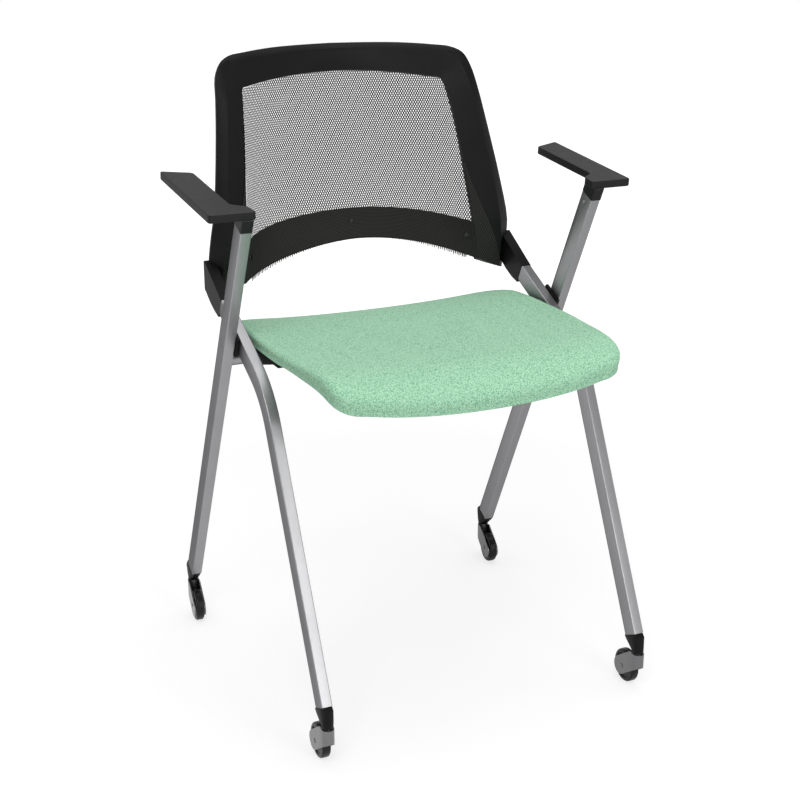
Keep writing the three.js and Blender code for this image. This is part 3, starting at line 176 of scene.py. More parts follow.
def grained_material(name, color, roughness):
    """Arm pads: a fine leather grain, grey, with painted shade that turns every face not facing up
    near black.
    """
    material, tree, shader = new_material(name, color, roughness)
    shader.inputs["Specular IOR Level"].default_value = 0.3
    place = position(tree)
    cells = add_node(
        tree, "ShaderNodeTexVoronoi", {"Vector": place, "Scale": 900.0}, feature="DISTANCE_TO_EDGE"
    )
    creases = remap(tree, cells.outputs["Distance"], 0.0, 0.14, 0, 1)
    broad = noise(tree, place, 60, 3)
    pad_color = mix_colors(tree, remap(tree, broad, 0.3, 0.7, 0, 1), color, tone(color, 1.18))
    facing = add_node(tree, "ShaderNodeTexCoord").outputs["Normal"]
    upward = add_node(tree, "ShaderNodeSeparateXYZ", {0: facing}).outputs["Z"]
    # painted shade: faces turned away from up are darkened to 0.12 of the pad's colour
    painted_side_shade = mix_colors(
        tree, remap(tree, upward, 0.6, 0.9, 0, 1), tone(color, 0.12), pad_color
    )
    connect(tree, shader, painted_side_shade, remap(tree, creases, 0, 1, roughness + 0.12, roughness))
    bump(tree, shader, creases, 0.18, 0.0001)
    return material


def seat_fabric():
    """A dense woven upholstery of small curled loops in pale green, with painted shade in the gaps
    between the loops.
    """
    material, tree, shader = new_material("seat_fabric", (0.4, 0.68, 0.47), 0.9)
    place = position(tree)
    warp = add_node(tree, "ShaderNodeTexNoise", {"Vector": place, "Scale": 300.0, "Detail": 2.0})
    centred = {0: warp.outputs["Color"], 1: (0.5, 0.5, 0.5)}
    offset = add_node(tree, "ShaderNodeVectorMath", centred, operation="SUBTRACT").outputs[0]
    small = {0: offset, "Scale": 0.002}
    scaled = add_node(tree, "ShaderNodeVectorMath", small, operation="SCALE").outputs[0]
    moved = {0: place, 1: scaled}
    bent = add_node(tree, "ShaderNodeVectorMath", moved, operation="ADD").outputs[0]
    curls = {"Vector": bent, "Scale": 720.0, "Randomness": 0.9}
    loops = add_node(tree, "ShaderNodeTexVoronoi", curls)
    tint = add_node(tree, "ShaderNodeSeparateColor", {"Color": loops.outputs["Color"]}).outputs[0]
    distance = loops.outputs["Distance"]
    light, middle, gap_shade_color = (0.55, 0.84, 0.62), (0.40, 0.72, 0.49), (0.18, 0.46, 0.27)
    base = mix_colors(tree, remap(tree, tint, 0.15, 0.9, 0, 1), middle, light)
    # painted shade: far from a loop's middle, where the bump sinks, the colour goes dark
    gaps = remap(tree, distance, 0.42, 0.72, 0, 1)
    loops_with_gap_shade = mix_colors(tree, gaps, base, gap_shade_color)
    broad = noise(tree, place, 9, 3)
    shaded = mix_colors(tree, remap(tree, broad, 0.3, 0.7, 0, 0.1), loops_with_gap_shade, (0.33, 0.6, 0.4))
    connect(tree, shader, shaded)
    shader.inputs["Specular IOR Level"].default_value = 0.2
    shader.inputs["Sheen Weight"].default_value = 0.15
    shader.inputs["Sheen Roughness"].default_value = 0.5
    height = math_node(tree, "SUBTRACT", 1.0, distance)
    bump(tree, shader, height, 0.4, 0.0005)
    return material


def yarn_material():
    """The net's black yarn."""
    material, tree, shader = new_material("net_yarn", (0.02, 0.02, 0.02), 0.7)
    shader.inputs["Specular IOR Level"].default_value = 0.2
    fine = noise(tree, position(tree), 3200, 2)
    connect(tree, shader, mix_colors(tree, fine, (0.01, 0.01, 0.01), (0.032, 0.032, 0.032)))
    bump(tree, shader, fine, 0.3, 0.0001)
    return material


def uv_parts(tree):
    """The two UV coordinates; the fabrics' UVs are in millimetres."""
    uv = add_node(tree, "ShaderNodeTexCoord").outputs["UV"]
    parts = add_node(tree, "ShaderNodeSeparateXYZ", {0: uv})
    return parts.outputs["X"], parts.outputs["Y"]


def wave(tree, value, pitch):
    turned = math_node(tree, "MULTIPLY", value, 2 * math.pi / pitch)
    return math_node(tree, "COSINE", turned)


def ribbed_material():
    """Band fabric: a row of knitted stitches in each of the modelled ribs, with painted shade in
    the channels and lighter crests.
    """
    material, tree, shader = new_material("ribbed_fabric", (0.016, 0.016, 0.016), 0.8)
    shader.inputs["Specular IOR Level"].default_value = 0.2
    across, up = uv_parts(tree)
    ribs = wave(tree, up, RIB_PITCH)
    stitches = wave(tree, across, STITCH_PITCH)
    fine = noise(tree, position(tree), 1800, 2)
    weave = math_node(tree, "ADD", ribs, math_node(tree, "MULTIPLY", stitches, 0.2))
    height = math_node(tree, "ADD", weave, math_node(tree, "MULTIPLY", fine, 0.5))
    # painted shade: the colour follows the height, dark in the channels, lighter on the crests
    shade = remap(tree, height, -0.9, 1.4, 0, 1)
    connect(tree, shader, mix_colors(tree, shade, (0.003, 0.003, 0.003), (0.034, 0.033, 0.031)))
    bump(tree, shader, height, 0.3, 0.0002)
    return material


def lining_material():
    """Where the net lies on the frame: yarn round closed, darker gaps."""
    material, tree, shader = new_material("lined_net", (0.016, 0.016, 0.016), 0.75)
    shader.inputs["Specular IOR Level"].default_value = 0.2
    across, up = uv_parts(tree)
    columns, rows = wave(tree, across, NET_CELL[0]), wave(tree, up, NET_CELL[1])
    gaps = math_node(tree, "MULTIPLY", columns, rows)
    shade = remap(tree, gaps, -0.1, 0.45, 0, 1)
    fine = noise(tree, position(tree), 2400, 2)
    yarn = mix_colors(tree, fine, (0.02, 0.02, 0.019), (0.038, 0.037, 0.035))
    connect(tree, shader, mix_colors(tree, shade, yarn, (0.004, 0.004, 0.004)))
    bump(tree, shader, math_node(tree, "SUBTRACT", 1.0, shade), 0.4, 0.0002)
    return material


SILVER = silver_material("silver_paint", (0.38, 0.38, 0.39), 0.36, 0.92)
HOOD = silver_material("hood_metal", (0.20, 0.20, 0.205), 0.28, 0.92, 1.0)
ZINC = silver_material("zinc_steel", (0.42, 0.42, 0.44), 0.3)
DARK_STEEL = silver_material("black_oxide_steel", (0.05, 0.05, 0.05), 0.35)
BLACK = plastic_material("black_plastic", (0.004, 0.004, 0.004), 0.5, 2200, 0.12, 0.15)
BACK = plastic_material("back_plastic", (0.005, 0.005, 0.005), 0.5, 2600, 0.08, 0.16)
ARM = grained_material("arm_plastic", (0.035, 0.035, 0.036), 0.55)
WHEEL = plastic_material("wheel_plastic", (0.007, 0.007, 0.007), 0.34, 1500, 0.05)
SEAT = seat_fabric()
YARN = yarn_material()
RIBBED = ribbed_material()
LINING = lining_material()

# ---------------------------------------------------------------- CAD nodes that stay

WELD_DISTANCE, SHARP_ANGLE = 0.00002, 38  # metres, degrees
HOOD_EDGE, BACK_EDGE, BACK_SHARP_ANGLE = 0.0003, 0.001, 24


def smooth_group():
    """Welds the faceted solid and shades it smooth but for its real edges."""
    group = bpy.data.node_groups.new("smooth_by_angle", "GeometryNodeTree")
    group.interface.new_socket("Geometry", in_out="INPUT", socket_type="NodeSocketGeometry")
    group.interface.new_socket("Geometry", in_out="OUTPUT", socket_type="NodeSocketGeometry")
    start = group.nodes.new("NodeGroupInput")
    end = group.nodes.new("NodeGroupOutput")
    weld = group.nodes.new("GeometryNodeMergeByDistance")
    weld.inputs["Distance"].default_value = WELD_DISTANCE
    soft = group.nodes.new("GeometryNodeSetShadeSmooth")
    crisp = group.nodes.new("GeometryNodeSetShadeSmooth")
    crisp.domain = "EDGE"
    crisp.inputs["Shade Smooth"].default_value = False
    angle = group.nodes.new("GeometryNodeInputMeshEdgeAngle")
    limit = group.nodes.new("FunctionNodeCompare")
    limit.operation = "GREATER_THAN"
    limit.inputs[1].default_value = math.radians(SHARP_ANGLE)
    group.links.new(start.outputs[0], weld.inputs["Geometry"])
    group.links.new(weld.outputs["Geometry"], soft.inputs["Geometry"])
    group.links.new(soft.outputs["Geometry"], crisp.inputs["Geometry"])
    group.links.new(angle.outputs["Unsigned Angle"], limit.inputs[0])
    group.links.new(limit.outputs[0], crisp.inputs["Selection"])
    group.links.new(crisp.outputs["Geometry"], end.inputs[0])
    return group


SMOOTH = smooth_group()


def dress(name, material, edge=0.0, edge_angle=SHARP_ANGLE):
    """Gives a CAD node its material, soft shading and, where edge isn't 0, rounded edges."""
    node = nodes[name]
    node.data.materials.clear()
    node.data.materials.append(material)
    modifier = node.modifiers.new("smooth", "NODES")
    modifier.node_group = SMOOTH
    flats = node.modifiers.new("flats", "WEIGHTED_NORMAL")
    flats.keep_sharp = True
    if edge:
        rounding = node.modifiers.new("edges", "BEVEL")
        rounding.width = edge
        rounding.segments = 2
        rounding.limit_method = "ANGLE"
        rounding.angle_limit = math.radians(edge_angle)
        rounding.harden_normals = True
        rounding.use_clamp_overlap = True


for name in nodes:
    if name.startswith(("straight_tube", "bent_tube", "seat_cross_tube")):
        dress(name, SILVER)
    elif name.startswith("caster_fork"):
        dress(name, HOOD, HOOD_EDGE)
    elif name.startswith("caster_axle"):
        dress(name, HOOD)
    elif name.startswith("caster_wheel"):
        dress(name, WHEEL)
    elif name.startswith(("band_screw", "back_screw")):
        dress(name, DARK_STEEL)
    elif name.startswith("armrest_screw"):
        dress(name, SILVER)
    elif name.startswith(("caster_stem", "crossing_bolt", "stop_pin")) or "screw" in name:
        dress(name, ZINC)
    elif name.startswith("armrest"):
        dress(name, ARM)
    elif name == "back_frame":
        dress(name, BACK, BACK_EDGE, BACK_SHARP_ANGLE)
    else:
        dress(name, BLACK)

# ---------------------------------------------------------------- back surface

# The back of the CAD part, in millimetres. The curves' points are shares of its half
# width, its depth and its height.
BACK_HALF_WIDTH, BACK_FOOT_Y, BACK_TOP_Y = 236.0, 148.034, 270.034
BACK_FOOT_Z, BACK_TOP_Z, SHIFT_Y = 538.002, 852.702, -7.0619
BACK_HEIGHT = BACK_TOP_Z - BACK_FOOT_Z
BACK_LEAN = math.radians(16)
FOOT_FLATNESS, TOP_FLATNESS, ARCH_POWER = 5.5, 2.5, 1.8
SIDE_EDGE = [
    (0.786, 0.0, 0.003), (0.758, 0.045, 0.197), (0.737, 0.148, 0.366),
    (0.710, 0.279, 0.578), (0.685, 0.422, 0.747), (0.665, 0.549, 0.836),
]
MIDDLE = [
    (0, 0.270, 0.137), (0, 0.541, 0.257), (0, 0.68, 0.47), (0, 0.779, 0.68), (0, 0.836, 0.882),
]
RIDGE = [
    (0.94, 0.0, -0.048), (0.93, -0.066, 0.09), (0.909, -0.115, 0.200), (0.886, -0.049, 0.346),
    (0.835, 0.148, 0.626), (0.801, 0.316, 0.798), (0.782, 0.443, 0.877), (0.754, 0.525, 0.928),
    (0.703, 0.566, 0.949), (0.623, 0.623, 0.958), (0.419, 0.762, 0.971), (0.212, 0.869, 0.976),
    (0, 0.914, 0.977),
]
EDGE_RISE = (0, 0.13, 0.235, 0.44, 0.735, 0.93, 0.985)
EDGE_ACROSS = (0.988, 0.93, 0.86, 0.62, 0.31, 0)
BAND_TOP = 0.2
CURVE_STEPS = 200


def clamp(value, low=0.0, high=1.0):
    return min(max(value, low), high)


def smooth_step(value, low, high):
    share = clamp((value - low) / (high - low))
    return share * share * (3 - 2 * share)


def back_point(shares):
    across, back, up = shares
    y = BACK_FOOT_Y + back * (BACK_TOP_Y - BACK_FOOT_Y) + SHIFT_Y
    return Vector((across * BACK_HALF_WIDTH, y, BACK_FOOT_Z + up * BACK_HEIGHT))


class CurveThrough:
    """A centripetal Catmull-Rom curve, read by its length."""

    def __init__(self, points):
        self.points = points
        self.table = [0.0]
        previous = self.at(0)
        for i in range(1, CURVE_STEPS + 1):
            point = self.at(i / CURVE_STEPS)
            self.table.append(self.table[-1] + (point - previous).length)
            previous = point

    def at(self, t):
        points = self.points
        last = len(points) - 1
        index = min(int(t * last), last - 1)
        weight = t * last - index
        p1, p2 = points[index], points[index + 1]
        p0 = points[index - 1] if index > 0 else 2 * points[0] - points[1]
        p3 = points[index + 2] if index + 2 <= last else 2 * points[last] - points[last - 1]
        steps = [(b - a).length ** 0.5 for a, b in ((p0, p1), (p1, p2), (p2, p3))]
        d1 = steps[1]
        d0, d2 = steps[0] or d1, steps[2] or d1
        t1 = ((p1 - p0) / d0 - (p2 - p0) / (d0 + d1) + (p2 - p1) / d1) * d1
        t2 = ((p2 - p1) / d1 - (p3 - p1) / (d1 + d2) + (p3 - p2) / d2) * d1
        c2 = -3 * p1 + 3 * p2 - 2 * t1 - t2
        c3 = 2 * p1 - 2 * p2 + t1 + t2
        return p1 + t1 * weight + c2 * weight ** 2 + c3 * weight ** 3

    def at_length(self, share):
        target = share * self.table[-1]
        low, high = 0, CURVE_STEPS
        while high - low > 1:
            middle = (low + high) // 2
            if self.table[middle] <= target:
                low = middle
            else:
                high = middle
        span = self.table[high] - self.table[low]
        return self.at((low + (target - self.table[low]) / span) / CURVE_STEPS)


side_edge = CurveThrough([back_point(p) for p in SIDE_EDGE])
middle_line = CurveThrough([back_point(p) for p in MIDDLE])
REARWARD = Vector((0, math.cos(BACK_LEAN), -math.sin(BACK_LEAN)))


def back_surface(across, rise, forward=0.0):
    """A point of the back's surface in metres, forward of it by some millimetres.

    across runs from -1 to 1 and rise from 0 to 1; below 0 the surface goes straight down.
    """
    share = clamp(rise)
    edge = side_edge.at_length(share)
    middle = middle_line.at_length(share)
    flatness = FOOT_FLATNESS + (TOP_FLATNESS - FOOT_FLATNESS) * share
    hollow = 1 - abs(across) ** flatness
    arch = 1 - abs(across) ** ARCH_POWER
    point = Vector((
        across * edge.x,
        edge.y + (middle.y - edge.y) * hollow,
        edge.z + (middle.z - edge.z) * arch,
    ))
    if rise < 0:
        point.z += rise * BACK_HEIGHT
    return (point - REARWARD * forward) * MM


edge_curve = CurveThrough([
    *(back_surface(1, rise) / MM for rise in EDGE_RISE),
    *(back_surface(across, 1) / MM for across in EDGE_ACROSS),
])
ridge_curve = CurveThrough([back_point(p) for p in RIDGE])


def new_object(name, vertices, faces, material):
    mesh = bpy.data.meshes.new(name)
    mesh.from_pydata([tuple(v) for v in vertices], [], faces)
    mesh.update()
    mesh.materials.append(material)
    piece = bpy.data.objects.new(name, mesh)
    scene.collection.objects.link(piece)
    return piece


# ---------------------------------------------------------------- knitted net

BEHIND, LAID, TUCKED = -2.0, 1.0, 0.2  # millimetres forward of the surface
NET_LOW, NET_HIGH = BAND_TOP - 0.01, 0.997
GAP_REACH, GAP_ROUNDNESS = 0.25, 0.6  # of a cell
NET_MARGIN, LEAST_EDGE = 1.0, 0.00002
TURNED_ENDS = 12  # spare columns past the surface's sides
SAMPLES, HALVINGS, RUN_STEPS, RUN_RISE, RUN_BEYOND = 400, 16, 200, 0.5, 60
surface_table = [
    (side_edge.at_length(i / SAMPLES), middle_line.at_length(i / SAMPLES))
    for i in range(SAMPLES + 1)
]


def between_samples(rise):
    """The edge's x and z and the middle's z at a rise, from the table."""
    place = clamp(rise) * SAMPLES
    index = min(int(place), SAMPLES - 1)
    share = place - index
    edge, middle = surface_table[index]
    next_edge, next_middle = surface_table[index + 1]
    return (
        edge.x + (next_edge.x - edge.x) * share,
        edge.z + (next_edge.z - edge.z) * share,
        middle.z + (next_middle.z - middle.z) * share,
    )


def run_table():
    """Pairs of x and the length of net from the middle out to it, at half height."""
    edge_x = side_edge.at_length(RUN_RISE).x
    pairs, run = [(0.0, 0.0)], 0.0
    previous = back_surface(0, RUN_RISE)
    for i in range(1, RUN_STEPS + 1):
        across = i / RUN_STEPS
        point = back_surface(across, RUN_RISE)
        run += math.hypot(point.x - previous.x, point.y - previous.y) / MM
        pairs.append((across * edge_x, run))
        previous = point
    x, last = pairs[-1]
    slope = (last - pairs[-10][1]) / (x - pairs[-10][0])
    pairs.append((x + RUN_BEYOND, last + RUN_BEYOND * slope))
    return pairs


RUNS = run_table()
SIDE_RUN = RUNS[-2][1]


def x_at_run(run):
    target = abs(run)
    for (x0, r0), (x1, r1) in zip(RUNS, RUNS[1:]):
        if target <= r1:
            return math.copysign(x0 + (x1 - x0) * (target - r0) / (r1 - r0), run)
    return math.copysign(RUNS[-1][0], run)


def place_on_back(x, z):
    """The shares across and up at which the net's surface has this x and z."""
    under, over = NET_LOW, NET_HIGH
    for _ in range(HALVINGS):
        rise = (under + over) / 2
        edge_x, edge_z, middle_z = between_samples(rise)
        across = min(abs(x) / edge_x, 1.0)
        height = edge_z + (middle_z - edge_z) * (1 - across ** ARCH_POWER)
        if height < z:
            under = rise
        else:
            over = rise
    rise = (under + over) / 2
    return math.copysign(min(abs(x) / between_samples(rise)[0], 1.0), x), rise


def diamond(column, row, reach, middle=0.5):
    """Eight corners of a cell, or of the rounder gap in it."""
    r, m = reach, reach * middle
    return [
        (column + r, row), (column + m, row + m), (column, row + r), (column - m, row + m),
        (column - r, row), (column - m, row - m), (column, row - r), (column + m, row - m),
    ]


def net_forward(across, rise):
    """The net comes forward at its lower sides, to lie on the frame's bevel."""
    near = smooth_step(abs(across), 0.93, 1.0)
    return BEHIND + (LAID - BEHIND) * near * (1 - smooth_step(rise, 0.45, 0.7))


def knitted_net():
    """Yarn round staggered gaps of one size, cut where the surface ends."""
    vertices, places, faces = [], {}, []
    pitch, cell = NET_CELL
    columns = int(SIDE_RUN / pitch) + TURNED_ENDS
    first_z = BACK_FOOT_Z - 20
    rows = int((BACK_TOP_Z - first_z) / cell) + 1
    width = 1 - NET_MARGIN / (SIDE_EDGE[0][0] * BACK_HALF_WIDTH)

    def look_up(corner):
        key = (round(corner[0], 4), round(corner[1], 4))
        if key not in places:
            across, rise = place_on_back(x_at_run(key[0] * pitch), first_z + key[1] * cell)
            places[key] = [across, rise, None]
        return places[key]

    def vertex(corner):
        place = look_up(corner)
        if place[2] is None:
            across, rise, _ = place
            place[2] = len(vertices)
            vertices.append(back_surface(across * width, rise, net_forward(across, rise)))
        return place[2]

    def gap_cell(column, row):
        corners = diamond(column, row, 0.5)
        known = [look_up(c) for c in corners]
        if all(p[0] >= 0.999 for p in known) or all(p[0] <= -0.999 for p in known):
            return
        if all(p[1] > NET_HIGH - 0.001 for p in known):
            return
        if all(p[1] < NET_LOW + 0.001 for p in known):
            return
        outside = [vertex(c) for c in corners]
        inside = [vertex(c) for c in diamond(column, row, GAP_REACH, GAP_ROUNDNESS)]
        for k in range(8):
            n = (k + 1) % 8
            faces.append((outside[k], outside[n], inside[n], inside[k]))

    for column in range(-columns, columns):
        for row in range(rows):
            gap_cell(column + 0.5, row + 0.5)
            gap_cell(column, row)
    piece = new_object("knitted_net", vertices, faces, YARN)
    bm = bmesh.new()
    bm.from_mesh(piece.data)
    bmesh.ops.dissolve_degenerate(bm, edges=bm.edges, dist=LEAST_EDGE)
    bm.to_mesh(piece.data)
    bm.free()
    return piece


FRINGE_REACH, FRINGE_HEM, YARN_HALF_WIDTH = 0.985, 0.012, 0.27  # the last is of a cell
SHORTEST_END, LONGER_AT_SIDES = 1.5, 5.5


def net_fringe():
    """The net's cut edge under the band: short yarn ends, longest at the sides."""
    vertices, faces = [], []
    pitch = NET_CELL[0]
    count = int(SIDE_RUN / pitch)
    edge_x = between_samples(0)[0]
    half = YARN_HALF_WIDTH * pitch / edge_x
    for k in range(-count, count + 1):
        across = x_at_run(k * pitch) / edge_x
        if abs(across) > FRINGE_REACH:
            continue
        depth = SHORTEST_END + LONGER_AT_SIDES * smooth_step(abs(across), 0.2, 0.9)
        uneven = 0.85 + 0.15 * math.sin(2.4 * k)
        end = -depth * uneven / BACK_HEIGHT
        n = len(vertices)
        for aside, rise in (
            (-1, FRINGE_HEM), (1, FRINGE_HEM), (-1, 0), (1, 0), (-0.6, end), (0.6, end),
        ):
            vertices.append(back_surface(across + aside * half, rise, TUCKED))
        faces += [(n, n + 1, n + 3, n + 2), (n + 2, n + 3, n + 5, n + 4)]
        if n:
            faces.append((n - 5, n, n + 2, n - 3))
    return new_object("net_fringe", vertices, faces, YARN)


net = knitted_net()
fringe = net_fringe()
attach(net, "frame")
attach(fringe, "frame")
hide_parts("back_mesh")


# height in millimetres, and the share of the bevel that the net covers there
LINING_REACH = (
    (520, 1.0), (548, 1.0), (566, 0.86), (591, 0.62),
    (612, 0.44), (634, 0.30), (660, 0.14), (690, 0.0),
)
LINING_END, LINING_OVERLAP, LEAST_REACH = 0.36, 0.02, 0.01


def lining_reach(height):
    """How far the net lies over the bevel, from its edge to the ridge."""
    for (low, first), (high, second) in zip(LINING_REACH, LINING_REACH[1:]):
        if height <= high:
            share = max(height - low, 0) / (high - low)
            return first + (second - first) * share
    return 0.0


def net_lining(side, stations=60, steps=10):
    """The net's margin, laid over the bevel of the frame down to its foot."""
    vertices, places, faces = [], [], []
    for i in range(stations + 1):
        t = LINING_END * i / stations
        edge, ridge = edge_curve.at(t), ridge_curve.at(t)
        reach = max(lining_reach(edge.z), LEAST_REACH)
        for k in range(steps + 1):
            share = reach * ((1 + LINING_OVERLAP) * k / steps - LINING_OVERLAP)
            point = edge.lerp(ridge, share)
            lift = LAID if k < steps else TUCKED
            vertices.append(Vector((side * point.x, point.y, point.z)) * MM - REARWARD * lift * MM)
            places.append((SIDE_RUN + (ridge - edge).length * share, point.z))
    for i in range(stations):
        for k in range(steps):
            a = i * (steps + 1) + k
            quad = (a, a + 1, a + steps + 2, a + steps + 1)
            faces.append(quad if side > 0 else tuple(reversed(quad)))
    piece = new_object("net_lining_" + ("left" if side > 0 else "right"), vertices, faces, LINING)
    layer = piece.data.uv_layers.new(name="UVMap")
    for polygon in piece.data.polygons:
        polygon.use_smooth = True
        for loop in polygon.loop_indices:
            layer.data[loop].uv = places[piece.data.loops[loop].vertex_index]
    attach(piece, "frame")
    return piece


linings = [net_lining(side) for side in (1, -1)]

# ---------------------------------------------------------------- lumbar band


BAND_HALF, BAND_ROUNDING, BAND_REACH, BAND_RUN = 2.2, 0.004, 0.996, 186
CHANNEL_DEPTH, CREST_DROP, SHOULDER_DROP, REAR_DROP = 0.45, 0.05, 0.6, 0.3


def band_cover(ribs=22, stations=96):
    """The band's ribbed cover, rounded over its edges, with a channel at each rib."""
    profile = []
    for rib in range(ribs):
        for step, lift in ((0.0, -CHANNEL_DEPTH), (0.5, 0.0)):
            profile.append(((rib + step) / ribs * BAND_TOP, BAND_HALF + lift - CREST_DROP))
    profile[0] = (0.0, BAND_HALF - SHOULDER_DROP)
    profile += [
        (BAND_TOP, BAND_HALF - SHOULDER_DROP),
        (BAND_TOP + BAND_ROUNDING, 0.0),
        (BAND_TOP, -BAND_HALF + REAR_DROP),
        (0.0, -BAND_HALF + REAR_DROP),
        (-BAND_ROUNDING, 0.0),
    ]
    vertices, faces = [], []
    count = len(profile)
    for i in range(stations + 1):
        across = -BAND_REACH * math.cos(math.pi * i / stations)
        for rise, forward in profile:
            vertices.append(back_surface(across, rise, forward))
    for i in range(stations):
        for k in range(count):
            a, b = i * count + k, i * count + (k + 1) % count
            faces.append((a, b, b + count, a + count))
    faces.append(tuple(range(count)))
    faces.append(tuple(reversed(range(stations * count, (stations + 1) * count))))
    piece = new_object("lumbar_band_cover", vertices, faces, RIBBED)
    mesh = piece.data
    layer = mesh.uv_layers.new(name="UVMap")
    for polygon in mesh.polygons:
        polygon.use_smooth = len(polygon.vertices) == 4
        for loop in polygon.loop_indices:
            index = mesh.loops[loop].vertex_index
            along = -math.cos(math.pi * (index // count) / stations)
            layer.data[loop].uv = (BAND_RUN * along, profile[index % count][0] * BACK_HEIGHT)
    return piece


band = band_cover()
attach(band, "frame")
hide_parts("lumbar_band")

# ---------------------------------------------------------------- seat cushion

SEAT_LOW, SEAT_HIGH = (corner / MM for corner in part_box("seat_cushion"))
SEAT_HALF, SEAT_REAR, SEAT_FRONT = SEAT_HIGH.x, SEAT_HIGH.y, SEAT_LOW.y
SEAT_TOP, FRONT_HALF = 498.502, SEAT_HALF - 14
REAR_CORNER, FRONT_CORNER, FRONT_BOW = 55, 34, 12  # millimetres
SIDE_PROFILE = [(0.17, 0.08), (0.08, 0.35), (0.0, 0.6), (0.1, 0.82), (0.33, 0.96), (0.67, 1.0)]
PAN_INSET, HINGE_REGION = 12.0, (SEAT_FRONT + 172, SEAT_REAR + 6)
BRACKET_ROOM, BRACKET_EASE = 8.8, 14
UNDERSIDE_SHRINKS = (0.15, 0.3, 0.45, 0.6, 0.75, 0.88)
SKIRT = (  # shares of the skirt's width and depth, from the pan outward
    (1.0, 0.0), (1.0, 0.4), (0.96, 0.8), (0.75, 1.0), (0.45, 0.98), (0.22, 0.75), (0.12, 0.4),
)
HELD_RINGS = len(UNDERSIDE_SHRINKS) + 1 + len(SKIRT)
TOP_RINGS, TOP_INSET, TOP_FULLNESS = 16, 8, 0.4
LIFT_UNDER, LIFT_SIDE, LIFT_TOP = 4, 5, 9  # millimetres at the front corners
CLOTH_FRAMES, CLOTH_PRESSURE, LONGEST_MOVE = 20, 4, 0.003


def arc_points(x, y, radius, start, end, count=24):
    turns = [math.radians(start + (end - start) * i / count) for i in range(count + 1)]
    return [(x + radius * math.cos(a), y + radius * math.sin(a)) for a in turns]


def bend_points(first, control, last, count=24):
    points = []
    for i in range(count + 1):
        t = i / count
        points.append(tuple(
            (1 - t) ** 2 * a + 2 * t * (1 - t) * b + t * t * c
            for a, b, c in zip(first, control, last)
        ))
    return points


def seat_outline(inset, count):
    """The left half of the seat in plan, rear to front, as evenly spaced points."""
    half, front_half = SEAT_HALF - inset, FRONT_HALF - inset
    rear, side_y = SEAT_REAR - inset, SEAT_FRONT + 40 + inset
    front_y, radius = SEAT_FRONT + FRONT_BOW + inset, REAR_CORNER - inset
    taper, side = (half, SEAT_FRONT + 175), (front_half, side_y)
    blend = tuple(a + (b - a) * 0.2 for a, b in zip(taper, side))
    corner = (front_half - 0.125 * FRONT_CORNER, front_y)
    after = (corner[0] - FRONT_CORNER, corner[1])
    path = [(0.0, rear)]
    path += arc_points(half - radius, rear - radius, radius, 90, 0)
    path += bend_points((half, taper[1] + FRONT_CORNER), taper, blend)
    path += bend_points(side, corner, after)
    path += bend_points(
        after, (front_half / 2, front_y - FRONT_BOW), (0.0, front_y - FRONT_BOW)
    )
    runs = [0.0]
    for (x0, y0), (x1, y1) in zip(path, path[1:]):
        runs.append(runs[-1] + math.hypot(x1 - x0, y1 - y0))
    points, index = [], 0
    for i in range(count + 1):
        target = runs[-1] * i / count
        while index < len(path) - 2 and runs[index + 1] < target:
            index += 1
        share = (target - runs[index]) / ((runs[index + 1] - runs[index]) or 1)
        points.append(tuple(a + (b - a) * share for a, b in zip(path[index], path[index + 1])))
    return points


def corner_lift(x, y):
    """The filling stands a little fuller at the sides, the most at the front corners."""
    front = 1 - smooth_step(y, SEAT_FRONT, SEAT_FRONT + 170)
    return clamp(abs(x) / SEAT_HALF) ** 4 * (0.35 + 0.65 * front)


def seat_top(x, y):
    depth = 5 + 2.5 * (y - SEAT_FRONT) / (SEAT_REAR - SEAT_FRONT)
    rear = clamp((y - SEAT_REAR + 105) / 105)
    front = clamp((SEAT_FRONT + 95 - y) / 95)
    return SEAT_TOP - 9 * rear ** 2 - 26 * front ** 2.6 - depth * (1 - (x / SEAT_HALF) ** 2)


def pad_thickness(y):
    return 12 + 10 * (1 - smooth_step(y, SEAT_FRONT, SEAT_FRONT + 185))


def skirt_depth(y):
    """How far the cover hangs over the pan's edge."""
    front = 1 - smooth_step(y, SEAT_FRONT, SEAT_FRONT + 175)
    return 3.5 - 1.5 * front


def skirt_width(y):
    """The cover's hanging edge thins where the hinge brackets stand behind it."""
    low, high = HINGE_REGION
    after_low = smooth_step(y, low - BRACKET_EASE, low)
    before_high = 1 - smooth_step(y, high, high + BRACKET_EASE)
    return PAN_INSET - BRACKET_ROOM * (after_low * before_high)


